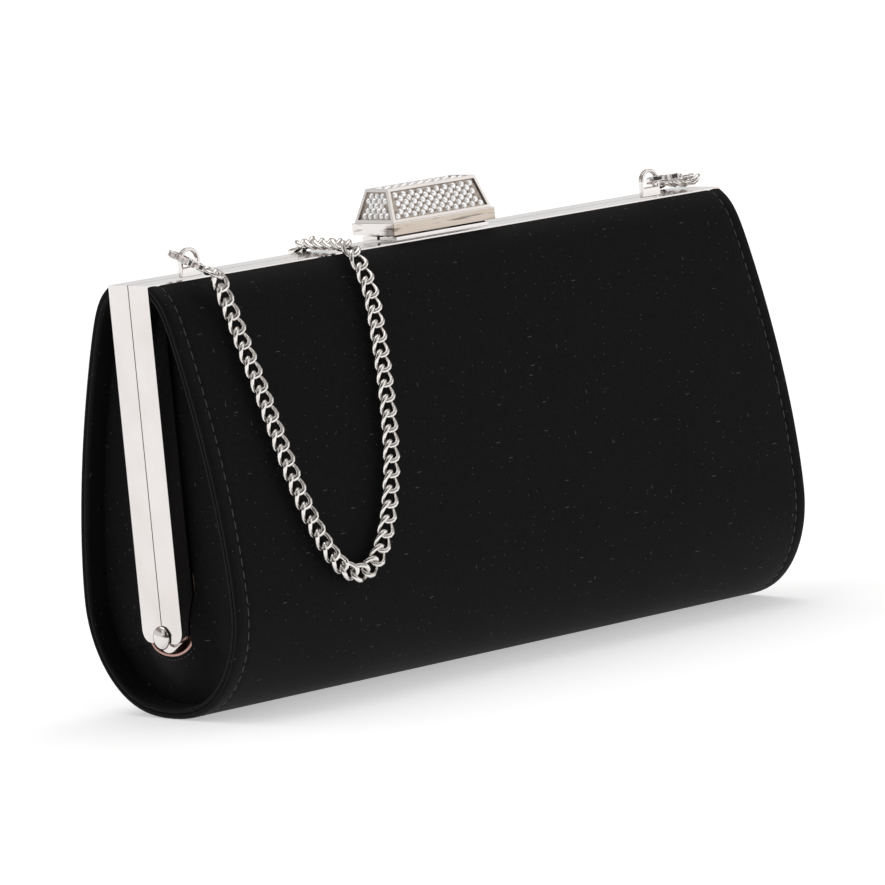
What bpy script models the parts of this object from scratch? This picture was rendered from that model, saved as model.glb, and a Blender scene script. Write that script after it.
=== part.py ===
"""Small evening bag: a fabric shell on a two-part hinged metal frame, with a jewelled clasp and a chain.

Metres, +Z up. X runs along the bag's length and -Y is its front. The origin is the middle of its base.
The back half is the fixed one. The front half swings on the two pivot rivets.
"""
import math

import bmesh
import bpy
from mathutils import Matrix, Vector

MM = 0.001

# Driving dimensions of the shell and the frame
LENGTH = 190 * MM
FRAME_TOP = 105.9 * MM
FRAME_DEPTH = 15.0 * MM
SHELL_TOP = 104.0 * MM
BELLY_RADIUS = 29.3 * MM
BASE_HALF_FLAT = 9.0 * MM
PIVOT_Z = 20.0 * MM
GAP = 0.3 * MM

# The shell's side: how far it draws in from the belly to the rail, as two powers of its height
TAPER, TAPER_POWER = 17.6 * MM, 1.7
SHOULDER, SHOULDER_POWER = 3.9 * MM, 27

# Layers of the shell, as depths below its outer face
COVER = (0.0, 1.2 * MM)
BOARD = (1.5 * MM, 2.7 * MM)
LINING = (3.0 * MM, 3.6 * MM)
CUT_ANGLE = math.radians(13)        # where the front layers end, below the pivot's level
CRADLE_RADIUS = 22.4 * MM           # the base stays inside this where the front layers swing over it
CRADLE_END = math.radians(9)
CRADLE_FROM = math.radians(60)
CRADLE_TO = math.radians(46)

# Frame section: a channel whose web is the visible strip
STRIP = 1.2 * MM
FLANGE = 0.9 * MM
FLANGE_DEEP = 4.4 * MM
INNER_DEEP = 2.6 * MM
ARM_END = 18.6 * MM
HALF_PARTING = 0.15 * MM
SHELL_END = FRAME_DEPTH / 2 + GAP   # the shell's top edge lies this far from the middle

# Pivot
RIVET_HEAD = 2.9 * MM
RIVET_RISE = 1.3 * MM
RIVET_SHANK = 1.2 * MM
RIVET_HOLE = 1.5 * MM
EAR_RADIUS = 4.0 * MM
EAR_THICK = 1.0 * MM

# Gussets: plates set in from the shell's end edges
GUSSET_INSET = 5.2 * MM
GUSSET_THICK = 0.9 * MM
GUSSET_DEPTH = 3.9 * MM

# Clasp
CLASP_LENGTH, CLASP_DEPTH = 33.5 * MM, 15.8 * MM
CLASP_LOW, SKIRT_TOP, CLASP_TOP = 107.7 * MM, 110.7 * MM, 119.0 * MM
CLASP_X = 0.75 * MM                 # the clasp's middle along the rail
CLASP_WALL = 1.0 * MM
SLOPE_STEP = 0.5 * MM               # the sloped faces start this far in from the skirt
TOP_HALF_LENGTH, TOP_HALF_DEPTH = 14.5 * MM, 4.15 * MM
PAVE_THICK = 0.7 * MM
PAVE_RIM = 1.1 * MM
CLASP_AXIS_Y, CLASP_AXIS_Z = 4.4 * MM, 109.2 * MM
PLATE_LOW, PLATE_TOP = FRAME_TOP + GAP, 107.2 * MM
PLATE_HALF = 15.3 * MM
PLATE_Y = (0.5 * MM, 6.0 * MM)
CLASP_PIN, CLASP_PIN_HALF = 0.6 * MM, 14.6 * MM
CLASP_BORE = 0.9 * MM
KNUCKLE_X, KNUCKLE_TOP = (9.0 * MM, 10.4 * MM), 114.6 * MM
EAR_X = (11.2 * MM, 12.6 * MM)
SPRING_RADIUS, SPRING_WIRE, SPRING_HALF, SPRING_TURNS = 1.25 * MM, 0.28 * MM, 5 * MM, 6

# Chain lugs, on the front rail
LUG_X = {"left": -79.8 * MM, "right": 72.7 * MM}
LUG_Y = (-6.1 * MM, -4.7 * MM)
LUG_HALF = 3.1 * MM
LUG_STRIP = 0.8 * MM
LUG_HEIGHT = 7.0 * MM
LUG_FOOT = 2.4 * MM

# Lobster clasps: eye end and tip of each
LOBSTER_HALF = 5.6 * MM
LOBSTER_WIDE = 2.9 * MM
LOBSTER_SLOT = 1.7 * MM
LOBSTER_THICK = 1.5 * MM
LOBSTER = {
    "left": ((-80.81 * MM, -12.74 * MM, 107.95 * MM), (-83.12 * MM, -2.71 * MM, 112.35 * MM)),
    "right": ((83.69 * MM, -4.37 * MM, 109.62 * MM), (72.60 * MM, -5.75 * MM, 110.36 * MM)),
}
LOBSTER_ROLL = {"left": math.radians(16), "right": math.radians(11)}
RING_RADIUS, RING_WIRE = 2.1 * MM, 0.45 * MM
CLAW_AT = 2.7 * MM                  # the claw's middle, from the lobster's own middle
TRIGGER_PIN = (-2.15 * MM, 1.75 * MM)
TRIGGER_PIN_RADIUS, TRIGGER_BORE = 0.3 * MM, 0.55 * MM

# Chain
CHAIN_RADIUS = 1.5 * MM
CHAIN_LIFT = 1.9 * MM               # the chain's middle over what it lies on
COIL_AT = (22 * MM, 62 * MM)
COIL_INNER, COIL_OUTER, COIL_TALL = 17.5 * MM, 25.4 * MM, 4.6 * MM
CROSS_X = -32.5 * MM

ENDS = {"left": -1, "right": 1}

COLOURS = {
    "satin": ((0.012, 0.012, 0.012), 0.75, 0.0),
    "silver": ((0.82, 0.80, 0.78), 0.12, 1.0),
    "lining": ((0.72, 0.50, 0.44), 0.7, 0.0),
    "board": ((0.45, 0.42, 0.38), 0.9, 0.0),
    "crystal": ((0.9, 0.9, 0.92), 0.1, 0.0),
    "steel": ((0.60, 0.60, 0.60), 0.3, 1.0),
}


def clear_scene():
    """Remove what the file opened with."""
    for obj in list(bpy.data.objects):
        bpy.data.objects.remove(obj, do_unlink=True)


def material_of(node, finish):
    """A material of the node's own, in the given finish."""
    colour, roughness, metallic = COLOURS[finish]
    mat = bpy.data.materials.new(node)
    mat.use_nodes = True
    shader = mat.node_tree.nodes["Principled BSDF"]
    shader.inputs["Base Color"].default_value = (*colour, 1)
    shader.inputs["Roughness"].default_value = roughness
    shader.inputs["Metallic"].default_value = metallic
    return mat


def add_object(node, mesh, finish, parent=None, smooth=None):
    """Place a finished mesh in the scene as one sub-part."""
    mesh.name = node
    if smooth is not None:
        mesh.shade_smooth()
        mesh.set_sharp_from_angle(angle=math.radians(smooth))
    obj = bpy.data.objects.new(node, mesh)
    bpy.context.collection.objects.link(obj)
    if finish:
        mesh.materials.append(material_of(node, finish))
    if parent:
        obj.parent = parent
        obj.matrix_parent_inverse = parent.matrix_world.inverted()
    return obj


def mesh_of(verts, faces):
    """A mesh from points and faces, with its faces turned outwards."""
    bm = bmesh.new()
    made = [bm.verts.new(v) for v in verts]
    for face in faces:
        bm.faces.new([made[i] for i in face])
    bmesh.ops.recalc_face_normals(bm, faces=bm.faces)
    mesh = bpy.data.meshes.new("shape")
    bm.to_mesh(mesh)
    bm.free()
    return mesh


def lay(point, along, axis):
    """A point of a flat outline, put at a place along the axis that it is extruded on."""
    a, b = point
    return {"x": (along, a, b), "y": (a, along, b), "z": (a, b, along)}[axis]


def prism(outline, low, high, axis="x"):
    """A flat outline extruded along an axis."""
    n = len(outline)
    verts = [lay(p, at, axis) for at in (low, high) for p in outline]
    sides = [(i, (i + 1) % n, n + (i + 1) % n, n + i) for i in range(n)]
    return mesh_of(verts, sides + [tuple(range(n)), tuple(range(n, 2 * n))])


def band(outer, inner, low, high, axis="x", closed=False):
    """A strip between two lines of paired points, extruded along an axis."""
    n = len(outer)
    verts = [lay(p, at, axis) for at in (low, high) for line in (outer, inner) for p in line]
    o_low, i_low, o_high, i_high = (k * n for k in range(4))
    faces = []
    for i in range(n if closed else n - 1):
        j = (i + 1) % n
        faces += [(o_low + i, o_low + j, i_low + j, i_low + i),
                  (o_high + i, o_high + j, i_high + j, i_high + i),
                  (o_low + i, o_low + j, o_high + j, o_high + i),
                  (i_low + i, i_low + j, i_high + j, i_high + i)]
    if not closed:
        for i in (0, n - 1):
            faces.append((o_low + i, i_low + i, i_high + i, o_high + i))
    return mesh_of(verts, faces)


def block(x, y, z):
    """A box between two corners, given as three pairs."""
    return prism([(y[0], z[0]), (y[1], z[0]), (y[1], z[1]), (y[0], z[1])], *x)


def circle(radius, centre=(0, 0), count=24):
    """Points round a circle."""
    turns = [math.tau * k / count for k in range(count)]
    return [(centre[0] + radius * math.cos(a), centre[1] + radius * math.sin(a)) for a in turns]


def joined(obj, meshes, operation):
    """Add meshes to an object's shape, or cut them from it."""
    for k, mesh in enumerate(meshes):
        tool = bpy.data.objects.new(f"{obj.name}_{operation.lower()}_{k}", mesh)
        bpy.context.collection.objects.link(tool)
        tool.hide_render = True
        tool.display_type = "WIRE"
        cut = obj.modifiers.new(tool.name, "BOOLEAN")
        cut.operation = operation
        cut.object = tool
        cut.solver = "EXACT"


def turned(profile, x_sign, centre, count=24):
    """A profile of (distance out, radius) turned about a line along X."""
    verts, faces, rings = [], [], []
    for out, radius in profile:
        if radius == 0:
            rings.append([len(verts)])
            verts.append((x_sign * out, *centre))
            continue
        rings.append(list(range(len(verts), len(verts) + count)))
        verts += [(x_sign * out, *p) for p in circle(radius, centre, count)]
    for a, b in zip(rings, rings[1:]):
        for k in range(count):
            j = (k + 1) % count
            quad = [a[k % len(a)], a[j % len(a)], b[j % len(b)], b[k % len(b)]]
            faces.append(tuple(dict.fromkeys(quad)))
    for ring in (rings[0], rings[-1]):
        if len(ring) > 1:
            faces.append(tuple(ring))
    return mesh_of(verts, faces)


# The shell's section ---------------------------------------------------------------------------------

BELLY_Z = math.sqrt(BELLY_RADIUS ** 2 - BASE_HALF_FLAT ** 2)
TANGENT = math.atan2(BELLY_Z - PIVOT_Z, BELLY_RADIUS)


def side_width(t):
    """Half the shell's depth at a height fraction above the belly, and its slope against the height."""
    width = BELLY_RADIUS - TAPER * t ** TAPER_POWER - SHOULDER * t ** SHOULDER_POWER
    slope = (TAPER * TAPER_POWER * t ** (TAPER_POWER - 1)
             + SHOULDER * SHOULDER_POWER * t ** (SHOULDER_POWER - 1))
    return width, -slope / (SHELL_TOP - BELLY_Z)


def side_point(t, depth):
    """A point (half depth, height) of the shell's side, a given depth below its face."""
    width, slope = side_width(t)
    size = math.hypot(1, slope)
    y = width - depth / size
    z = BELLY_Z + t * (SHELL_TOP - BELLY_Z) + depth * slope / size
    return y, z


def belly_reach(angle, depth):
    """Distance from the pivot line to the belly or the base, at an angle below the front's level."""
    rise = BELLY_Z - PIVOT_Z
    radius = BELLY_RADIUS - depth
    reach = -rise * math.sin(angle) + math.sqrt(radius ** 2 - (rise * math.cos(angle)) ** 2)
    down = math.sin(angle)
    return min(reach, (PIVOT_Z - depth) / down) if down > 0.5 else reach


def cradle_reach(angle, depth):
    """As belly_reach, drawn in at the front so that the front layers can swing over it."""
    full = belly_reach(angle, depth)
    if angle >= CRADLE_FROM:
        return full
    share = min(1.0, (CRADLE_FROM - angle) / (CRADLE_FROM - CRADLE_TO))
    return full + share * (min(full, CRADLE_RADIUS - depth) - full)


def polar(angle, reach):
    """The (y, z) point at an angle below the front's level and a distance from the pivot line."""
    return -reach * math.cos(angle), PIVOT_Z - reach * math.sin(angle)


def steps(start, end, count):
    """Evenly spaced values from start to end."""
    return [start + (end - start) * k / count for k in range(count + 1)]


def side_pair(layer, count=16):
    """Outer and inner lines of one layer's side, paired by height."""
    lines = []
    for depth in layer:
        top = side_point(1.0, depth)
        limit = 1.0
        if top[0] < SHELL_END:
            low, high = 0.5, 1.0
            for _ in range(40):
                middle = (low + high) / 2
                if side_point(middle, depth)[0] > SHELL_END:
                    low = middle
                else:
                    high = middle
            limit = low
        lines.append([side_point(limit * (k / count) ** 0.6, depth) for k in range(count + 1)])
    return lines


def front_layer(layer):
    """Paired lines of a front layer, from its lower end up to the rail."""
    lines = []
    for depth, side in zip(layer, side_pair(layer)):
        low = [polar(a, belly_reach(a, depth)) for a in steps(CUT_ANGLE, -TANGENT, 5)]
        lines.append(low[:-1] + [(-y, z) for y, z in side])
    return lines


def back_layer(layer):
    """Paired lines of a back layer: from the rail, down the back, under the base, to the cradle's end."""
    lines = []
    for depth, side in zip(layer, side_pair(layer)):
        base_edge = math.atan2(PIVOT_Z, BASE_HALF_FLAT)
        angles = (steps(math.pi + TANGENT, math.pi - base_edge, 14)
                  + steps(math.pi - base_edge, base_edge, 4)[1:]
                  + steps(base_edge, CRADLE_END, 12)[1:])
        low = [polar(a, cradle_reach(a, depth)) for a in angles]
        lines.append(list(reversed(side))[:-1] + low)
    return lines


def swing_way(end):
    """What is cut from the base's front corners, where the front gussets swing down."""
    near, far = 14 * MM, 27 * MM
    angles = steps(-CRADLE_END, CRADLE_TO, 6)
    outline = [polar(a, near) for a in angles] + [polar(a, far) for a in reversed(angles)]
    half = LENGTH / 2
    reach = sorted((end * (half + MM), end * (half - GUSSET_INSET - GUSSET_THICK - GAP)))
    return prism(outline, *reach)


def build_shell(root, front):
    """Cover, board and lining of both halves."""
    half = LENGTH / 2
    for name, layer, finish, inset in (("cover", COVER, "satin", 0.0), ("board", BOARD, "board", 1 * MM),
                                       ("lining", LINING, "lining", 1 * MM)):
        sides = (("front", front_layer(layer), front), ("back", back_layer(layer), root))
        for side, lines, parent in sides:
            mesh = band(*lines, -half + inset, half - inset)
            obj = add_object(f"{side}_{name}", mesh, finish, parent, smooth=30)
            if side == "back":
                joined(obj, [swing_way(end) for end in ENDS.values()], "DIFFERENCE")


# The frame -------------------------------------------------------------------------------------------

def channel(sign):
    """One half of the frame: a channel section swept down one arm, along the rail and down the other."""
    outer, inner = sign * FRAME_DEPTH / 2, sign * HALF_PARTING
    step = -sign * FLANGE
    section = [(outer, 0.0), (outer, FLANGE_DEEP), (outer + step, FLANGE_DEEP), (outer + step, STRIP),
               (inner - step, STRIP), (inner - step, INNER_DEEP), (inner, INNER_DEEP), (inner, 0.0)]
    half = LENGTH / 2
    verts = []
    for y, d in section:
        verts += [(-half + d, y, ARM_END), (-half + d, y, FRAME_TOP - d),
                  (half - d, y, FRAME_TOP - d), (half - d, y, ARM_END)]
    n = len(section)
    faces = []
    for i in range(n):
        j = (i + 1) % n
        faces += [(4 * i + k, 4 * j + k, 4 * j + k + 1, 4 * i + k + 1) for k in range(3)]
    faces += [tuple(4 * i for i in range(n)), tuple(4 * i + 3 for i in range(n))]
    return mesh_of(verts, faces)


def corner_cutter(sign, x0, x1):
    """What rounds an arm's outer lower corner."""
    radius = 3.0 * MM
    outer = sign * FRAME_DEPTH / 2
    centre = (outer - sign * radius, ARM_END + radius)
    arc = [(centre[0] + sign * radius * math.sin(a), centre[1] - radius * math.cos(a))
           for a in steps(0, math.pi / 2, 6)]
    beyond = 1 * MM
    return prism(arc + [(outer + sign * beyond, centre[1]), (outer + sign * beyond, ARM_END - beyond),
                        (centre[0], ARM_END - beyond)], x0, x1)


def ear(sign, layer_x):
    """A half's round ear at the pivot, with the tongue that carries it on the flange."""
    low, high = layer_x
    reach = FRAME_DEPTH / 2 - FLANGE / 2
    tall = 2.6 * MM
    arc = [(-sign * EAR_RADIUS * math.sin(a), PIVOT_Z + EAR_RADIUS * math.cos(a)) for a in
           steps(-0.15 * math.pi, 1.15 * math.pi, 18)]
    tongue = [(sign * reach, PIVOT_Z - 0.2 * MM), (sign * reach, PIVOT_Z + tall + 1 * MM)]
    return prism(arc + tongue, low, high)


def build_frame(root, front):
    """The two frame halves and the rivets that join them."""
    half = LENGTH / 2
    layers = {1: (STRIP + GAP + EAR_THICK + GAP, STRIP + GAP + 2 * EAR_THICK + GAP),
              -1: (STRIP + GAP, STRIP + GAP + EAR_THICK)}
    for name, sign, parent in (("back_frame", 1, root), ("front_frame", -1, front)):
        obj = add_object(name, channel(sign), "silver", parent)
        cuts, adds = [], []
        for end in ENDS.values():
            reach = sorted((end * (half + MM), end * (half - 6 * MM)))
            inner_x = sorted((end * (half - STRIP), end * (half - 6 * MM)))
            clear = EAR_RADIUS + 2 * GAP
            cuts.append(corner_cutter(sign, *reach))
            cuts.append(block(inner_x, sorted((0, sign * (FRAME_DEPTH / 2 - FLANGE - 0.1 * MM))),
                              (ARM_END - MM, PIVOT_Z + clear)))
            near, far = layers[sign]
            adds.append(ear(sign, sorted((end * (half - near), end * (half - far)))))
        joined(obj, cuts, "DIFFERENCE")
        joined(obj, adds, "UNION")
        holes = []
        for end in ENDS.values():
            reach = sorted((end * (half + MM), end * (half - 6 * MM)))
            holes.append(prism(circle(RIVET_HOLE, (0, PIVOT_Z)), *reach))
            notch = [(-2.2 * MM, ARM_END - MM), (2.2 * MM, ARM_END - MM), (0.0, PIVOT_Z)]
            holes.append(prism(notch, *sorted((end * (half + MM), end * (half - STRIP - 0.1 * MM)))))
        joined(obj, holes, "DIFFERENCE")
    inner = half - layers[1][1] - GAP
    for side, end in ENDS.items():
        dome = [(half + GAP + RIVET_RISE * math.cos(a), RIVET_HEAD * math.sin(a))
                for a in steps(0, math.pi / 2, 5)]
        profile = dome + [(half + GAP, RIVET_SHANK), (inner, RIVET_SHANK), (inner, 2.2 * MM),
                          (inner - 0.7 * MM, 2.2 * MM), (inner - 0.7 * MM, 0)]
        add_object(f"pivot_rivet_{side}", turned(profile, end, (0, PIVOT_Z)), "silver", root, smooth=40)


def build_gussets(root, front):
    """Recessed end walls: one for each half at each end, and a lower one behind them."""
    half = LENGTH / 2
    edge = 0.6 * MM
    top = FRAME_TOP - FLANGE_DEEP - 2 * GAP
    wall = side_pair((GUSSET_DEPTH, GUSSET_DEPTH))[0]
    wall = [(y, z) for y, z in wall if z < top - MM]
    for side, end in ENDS.items():
        near = sorted((end * (half - GUSSET_INSET), end * (half - GUSSET_INSET - GUSSET_THICK)))
        for name, sign, parent in (("front", -1, front), ("back", 1, root)):
            low = [polar(a, belly_reach(a, GUSSET_DEPTH)) for a in steps(CUT_ANGLE, -TANGENT, 4)]
            low = [(sign * abs(y), z) for y, z in low]
            outline = ([(sign * edge, PIVOT_Z - edge * math.tan(CUT_ANGLE))] + low
                       + [(sign * y, z) for y, z in wall[1:]]
                       + [(sign * wall[-1][0], top), (sign * edge, top)])
            add_object(f"{name}_gusset_{side}", prism(outline, *near), "satin", parent)
        deep = GUSSET_INSET + GUSSET_THICK + GAP
        far = sorted((end * (half - deep), end * (half - deep - GUSSET_THICK)))
        angles = steps(math.pi - CRADLE_END, CRADLE_END, 20)
        outline = [polar(a, cradle_reach(a, GUSSET_DEPTH)) for a in angles]
        crown = [(-14 * MM, PIVOT_Z + 3 * MM), (14 * MM, PIVOT_Z + 3 * MM)]
        add_object(f"lower_gusset_{side}", prism(outline + crown, *far), "satin", root)


# The clasp -------------------------------------------------------------------------------------------

def frustum(low, high):
    """A closed solid between two rectangles, each (half length, half depth, height)."""
    verts = [(sx * a, sy * b, z) for a, b, z in (low, high)
             for sx, sy in ((-1, -1), (1, -1), (1, 1), (-1, 1))]
    faces = [(0, 1, 2, 3), (4, 5, 6, 7)] + [(k, (k + 1) % 4, 4 + (k + 1) % 4, 4 + k) for k in range(4)]
    return mesh_of(verts, faces)


def clasp_cap_mesh():
    """Skirt and sloped faces, hollow from below."""
    a, b = CLASP_LENGTH / 2, CLASP_DEPTH / 2
    w = CLASP_WALL
    outside = [(a, b, CLASP_LOW), (a, b, SKIRT_TOP), (a - SLOPE_STEP, b - SLOPE_STEP, SKIRT_TOP),
               (TOP_HALF_LENGTH, TOP_HALF_DEPTH, CLASP_TOP)]
    inside = [(a - w, b - w, CLASP_LOW), (a - w, b - w, SKIRT_TOP - w),
              (TOP_HALF_LENGTH - w, TOP_HALF_DEPTH - w, CLASP_TOP - 1.8 * w)]
    rings = outside + inside[::-1]
    corners = ((-1, -1), (1, -1), (1, 1), (-1, 1))
    verts = [(sx * r[0], sy * r[1], r[2]) for r in rings for sx, sy in corners]
    faces = []
    for i in range(len(rings)):
        j = (i + 1) % len(rings)
        if i == len(outside) - 1:
            continue
        faces += [(4 * i + k, 4 * i + (k + 1) % 4, 4 * j + (k + 1) % 4, 4 * j + k) for k in range(4)]
    top, roof = 4 * (len(outside) - 1), 4 * len(outside)
    faces += [tuple(top + k for k in range(4)), tuple(roof + k for k in range(4))]
    return mesh_of(verts, faces)


def clasp_faces():
    """The four corners of each sloped face and of the top, from below and anticlockwise from outside."""
    a, b = CLASP_LENGTH / 2 - SLOPE_STEP, CLASP_DEPTH / 2 - SLOPE_STEP
    c, d = TOP_HALF_LENGTH, TOP_HALF_DEPTH
    low, high = SKIRT_TOP, CLASP_TOP
    return {
        "front": [(-a, -b, low), (a, -b, low), (c, -d, high), (-c, -d, high)],
        "back": [(a, b, low), (-a, b, low), (-c, d, high), (c, d, high)],
        "left": [(-a, b, low), (-a, -b, low), (-c, -d, high), (-c, d, high)],
        "right": [(a, -b, low), (a, b, low), (c, d, high), (c, -d, high)],
        "top": [(-c, -d, high), (c, -d, high), (c, d, high), (-c, d, high)],
    }


def inset_panel(corners, rim, low, high):
    """A plate over a four-cornered face, drawn in by the rim and standing from low to high over it."""
    points = [Vector(c) for c in corners]
    normal = (points[1] - points[0]).cross(points[3] - points[0]).normalized()
    drawn = []
    for k, point in enumerate(points):
        ahead = (points[(k + 1) % 4] - point).normalized()
        behind = (points[k - 1] - point).normalized()
        drawn.append(point + (ahead + behind) * rim / ahead.cross(behind).length)
    verts = [p + normal * h for h in (low, high) for p in drawn]
    faces = [(0, 1, 2, 3), (4, 5, 6, 7)] + [(k, (k + 1) % 4, 4 + (k + 1) % 4, 4 + k) for k in range(4)]
    return mesh_of(verts, faces)


def coil_curve(radius, wire, x0, x1, turns, centre):
    """A round wire wound about a line along X."""
    per_turn = 10
    count = turns * per_turn
    points = [(x0 + (x1 - x0) * k / count, centre[0] + radius * math.cos(math.tau * k / per_turn),
               centre[1] + radius * math.sin(math.tau * k / per_turn)) for k in range(count + 1)]
    return tube_mesh(points, wire, 1)


def tube_mesh(points, radius, resolution):
    """A round tube with closed ends along a line of points."""
    curve = bpy.data.curves.new("tube", "CURVE")
    curve.dimensions = "3D"
    curve.bevel_depth = radius
    curve.bevel_resolution = resolution
    curve.use_fill_caps = True
    spline = curve.splines.new("POLY")
    spline.points.add(len(points) - 1)
    for at, point in zip(spline.points, points):
        at.co = (*point, 1)
    return curve


def on_clasp(mesh):
    """A mesh made about the clasp's own middle, moved to where the clasp stands on the rail."""
    mesh.transform(Matrix.Translation((CLASP_X, 0, 0)))
    return mesh


def axis_rod(radius, half, count=16):
    """A rod along the clasp's hinge line."""
    return on_clasp(prism(circle(radius, (CLASP_AXIS_Y, CLASP_AXIS_Z), count), -half, half))


def clasp_block(x, y, z):
    """A box placed with the clasp."""
    return on_clasp(block(x, y, z))


def build_clasp(root, front, tilt):
    """Base plate with its hinge, the tilting cap with its stone panels, the latch nose and the striker."""
    cap = add_object("clasp_cap", on_clasp(clasp_cap_mesh()), "silver", tilt)
    knuckle_y = (CLASP_AXIS_Y - 1.2 * MM, CLASP_AXIS_Y + 0.9 * MM)
    knuckle_z = (CLASP_AXIS_Z - 1.4 * MM, KNUCKLE_TOP)
    joined(cap, [clasp_block(sorted(end * x for x in KNUCKLE_X), knuckle_y, knuckle_z)
                 for end in ENDS.values()], "UNION")
    way = 15 * MM
    joined(cap, [axis_rod(CLASP_BORE, way)], "DIFFERENCE")
    for side, corners in clasp_faces().items():
        joined(cap, [on_clasp(inset_panel(corners, PAVE_RIM - GAP, -PAVE_THICK, 0.5 * MM))], "DIFFERENCE")
        panel = on_clasp(inset_panel(corners, PAVE_RIM, -PAVE_THICK + GAP, -0.1 * MM))
        add_object(f"stone_panel_{side}", panel, "crystal", tilt)
    nose_low, nose_top, nose_half = 107.8 * MM, 110.0 * MM, 4 * MM
    nose = [(-6.6 * MM, nose_top), (-6.6 * MM, nose_low), (-4.6 * MM, nose_low), (-5.6 * MM, nose_top)]
    add_object("latch_nose", on_clasp(prism(nose, -nose_half, nose_half)), "steel", tilt)

    across = (-PLATE_HALF, PLATE_HALF)
    plate = add_object("clasp_base", clasp_block(across, PLATE_Y, (PLATE_LOW, PLATE_TOP)), "silver", root)
    ear_y = (CLASP_AXIS_Y - 1.3 * MM, CLASP_AXIS_Y + 1.3 * MM)
    ear_z = (PLATE_LOW + 0.2 * MM, CLASP_AXIS_Z + 1.5 * MM)
    ears = [clasp_block(sorted(end * x for x in EAR_X), ear_y, ear_z) for end in ENDS.values()]
    joined(plate, ears, "UNION")
    joined(plate, [axis_rod(CLASP_BORE, way)], "DIFFERENCE")
    add_object("clasp_pin", axis_rod(CLASP_PIN, CLASP_PIN_HALF, 12), "steel", root)
    spring = coil_curve(SPRING_RADIUS, SPRING_WIRE, CLASP_X - SPRING_HALF, CLASP_X + SPRING_HALF,
                        SPRING_TURNS, (CLASP_AXIS_Y, CLASP_AXIS_Z))
    wire = add_object("clasp_spring", spring, None, root)
    wire.data.materials.append(material_of("clasp_spring", "steel"))
    low, high = -FRAME_DEPTH / 2 + 0.7 * MM, -HALF_PARTING - GAP
    ridge_y, ridge_top = (-5.6 * MM, -4.2 * MM), PLATE_TOP + 0.2 * MM
    ridge = [(low, PLATE_LOW), (high, PLATE_LOW), (high, PLATE_TOP), (ridge_y[1], PLATE_TOP),
             (ridge_y[1], ridge_top), (ridge_y[0], ridge_top), (ridge_y[0], PLATE_TOP), (low, PLATE_TOP)]
    add_object("striker_plate", on_clasp(prism(ridge, *across)), "silver", front)


# The chain and what holds it -------------------------------------------------------------------------

def lug_mesh(x):
    """An arched strip loop standing on a solid foot."""
    rise = FRAME_TOP + GAP
    spring_line = rise + LUG_HEIGHT - LUG_HALF
    count = 12
    arc = [math.pi * k / count for k in range(count + 1)]
    hole = LUG_HALF - LUG_STRIP
    outer, inner = ([(x + half * math.cos(a), spring_line + half * math.sin(a)) for a in arc]
                    for half in (LUG_HALF, hole))
    outer = [(x + LUG_HALF, rise), *outer, (x - LUG_HALF, rise)]
    inner = [(x + hole, rise + LUG_FOOT), *inner, (x - hole, rise + LUG_FOOT)]
    return band(outer, inner, *LUG_Y, axis="y", closed=True)


def lobster_frame(side):
    """Where a lobster clasp lies: its middle, with its own X from the eye to the tip and Y level."""
    eye, tip = (Vector(p) for p in LOBSTER[side])
    along = (tip - eye).normalized()
    across = Vector((0, 0, 1)).cross(along).normalized()
    across = Matrix.Rotation(LOBSTER_ROLL[side], 3, along) @ across
    place = Matrix((along, across, along.cross(across))).transposed().to_4x4()
    place.translation = (eye + tip) / 2
    return place


def claw_arc(radius, start, end):
    """Points round the claw's own middle."""
    return [(CLAW_AT + radius * math.cos(a), radius * math.sin(a)) for a in steps(start, end, 10)]


def lobster_mesh():
    """A flat claw: a loop with one side open for the trigger, and a boss with an eye behind it."""
    top, bottom = math.radians(75), -math.pi / 2
    tip_x = 1.9 * MM
    tail = [(-2.2, -2.7), (-4.2, -1.6), (-5.6, -1.0), (-5.6, 1.0), (-4.4, 1.4), (-3.6, 1.4), (-3.6, -0.8)]
    outline = ([(tip_x, 2.5 * MM)] + claw_arc(LOBSTER_WIDE, top, bottom)
               + [(x * MM, y * MM) for x, y in tail] + [(-2.2 * MM, -LOBSTER_SLOT)]
               + claw_arc(LOBSTER_SLOT, bottom, top) + [(tip_x, 1.75 * MM)])
    return prism(outline, -LOBSTER_THICK / 2, LOBSTER_THICK / 2, axis="z")


def trigger_mesh():
    """The sprung gate with its thumb tab, pivoting at its rear end."""
    gate = [(-2.9, 0.8), (-1.2, 1.5), (1.55, 1.7), (1.55, 2.5), (-0.4, 2.6), (-1.0, 3.9), (-1.7, 3.9),
            (-1.9, 2.7), (-2.9, 2.4)]
    return prism([(x * MM, y * MM) for x, y in gate], -LOBSTER_THICK / 2, LOBSTER_THICK / 2, axis="z")


def ring_mesh(place):
    """The round wire ring behind a lobster clasp's eye."""
    along, across, normal = (place.to_3x3().col[k] for k in range(3))
    centre = place @ Vector((-LOBSTER_HALF - GAP - RING_RADIUS - RING_WIRE, 0, 0))
    loop, tube = 20, 8
    verts, faces = [], []
    for i in range(loop):
        a = math.tau * i / loop
        out = along * math.cos(a) + across * math.sin(a)
        for k in range(tube):
            b = math.tau * k / tube
            verts.append(centre + out * (RING_RADIUS + RING_WIRE * math.cos(b))
                         + normal * RING_WIRE * math.sin(b))
            faces.append([(i + p) % loop * tube + (k + q) % tube
                          for p, q in ((0, 0), (1, 0), (1, 1), (0, 1))])
    return mesh_of(verts, faces)


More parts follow.
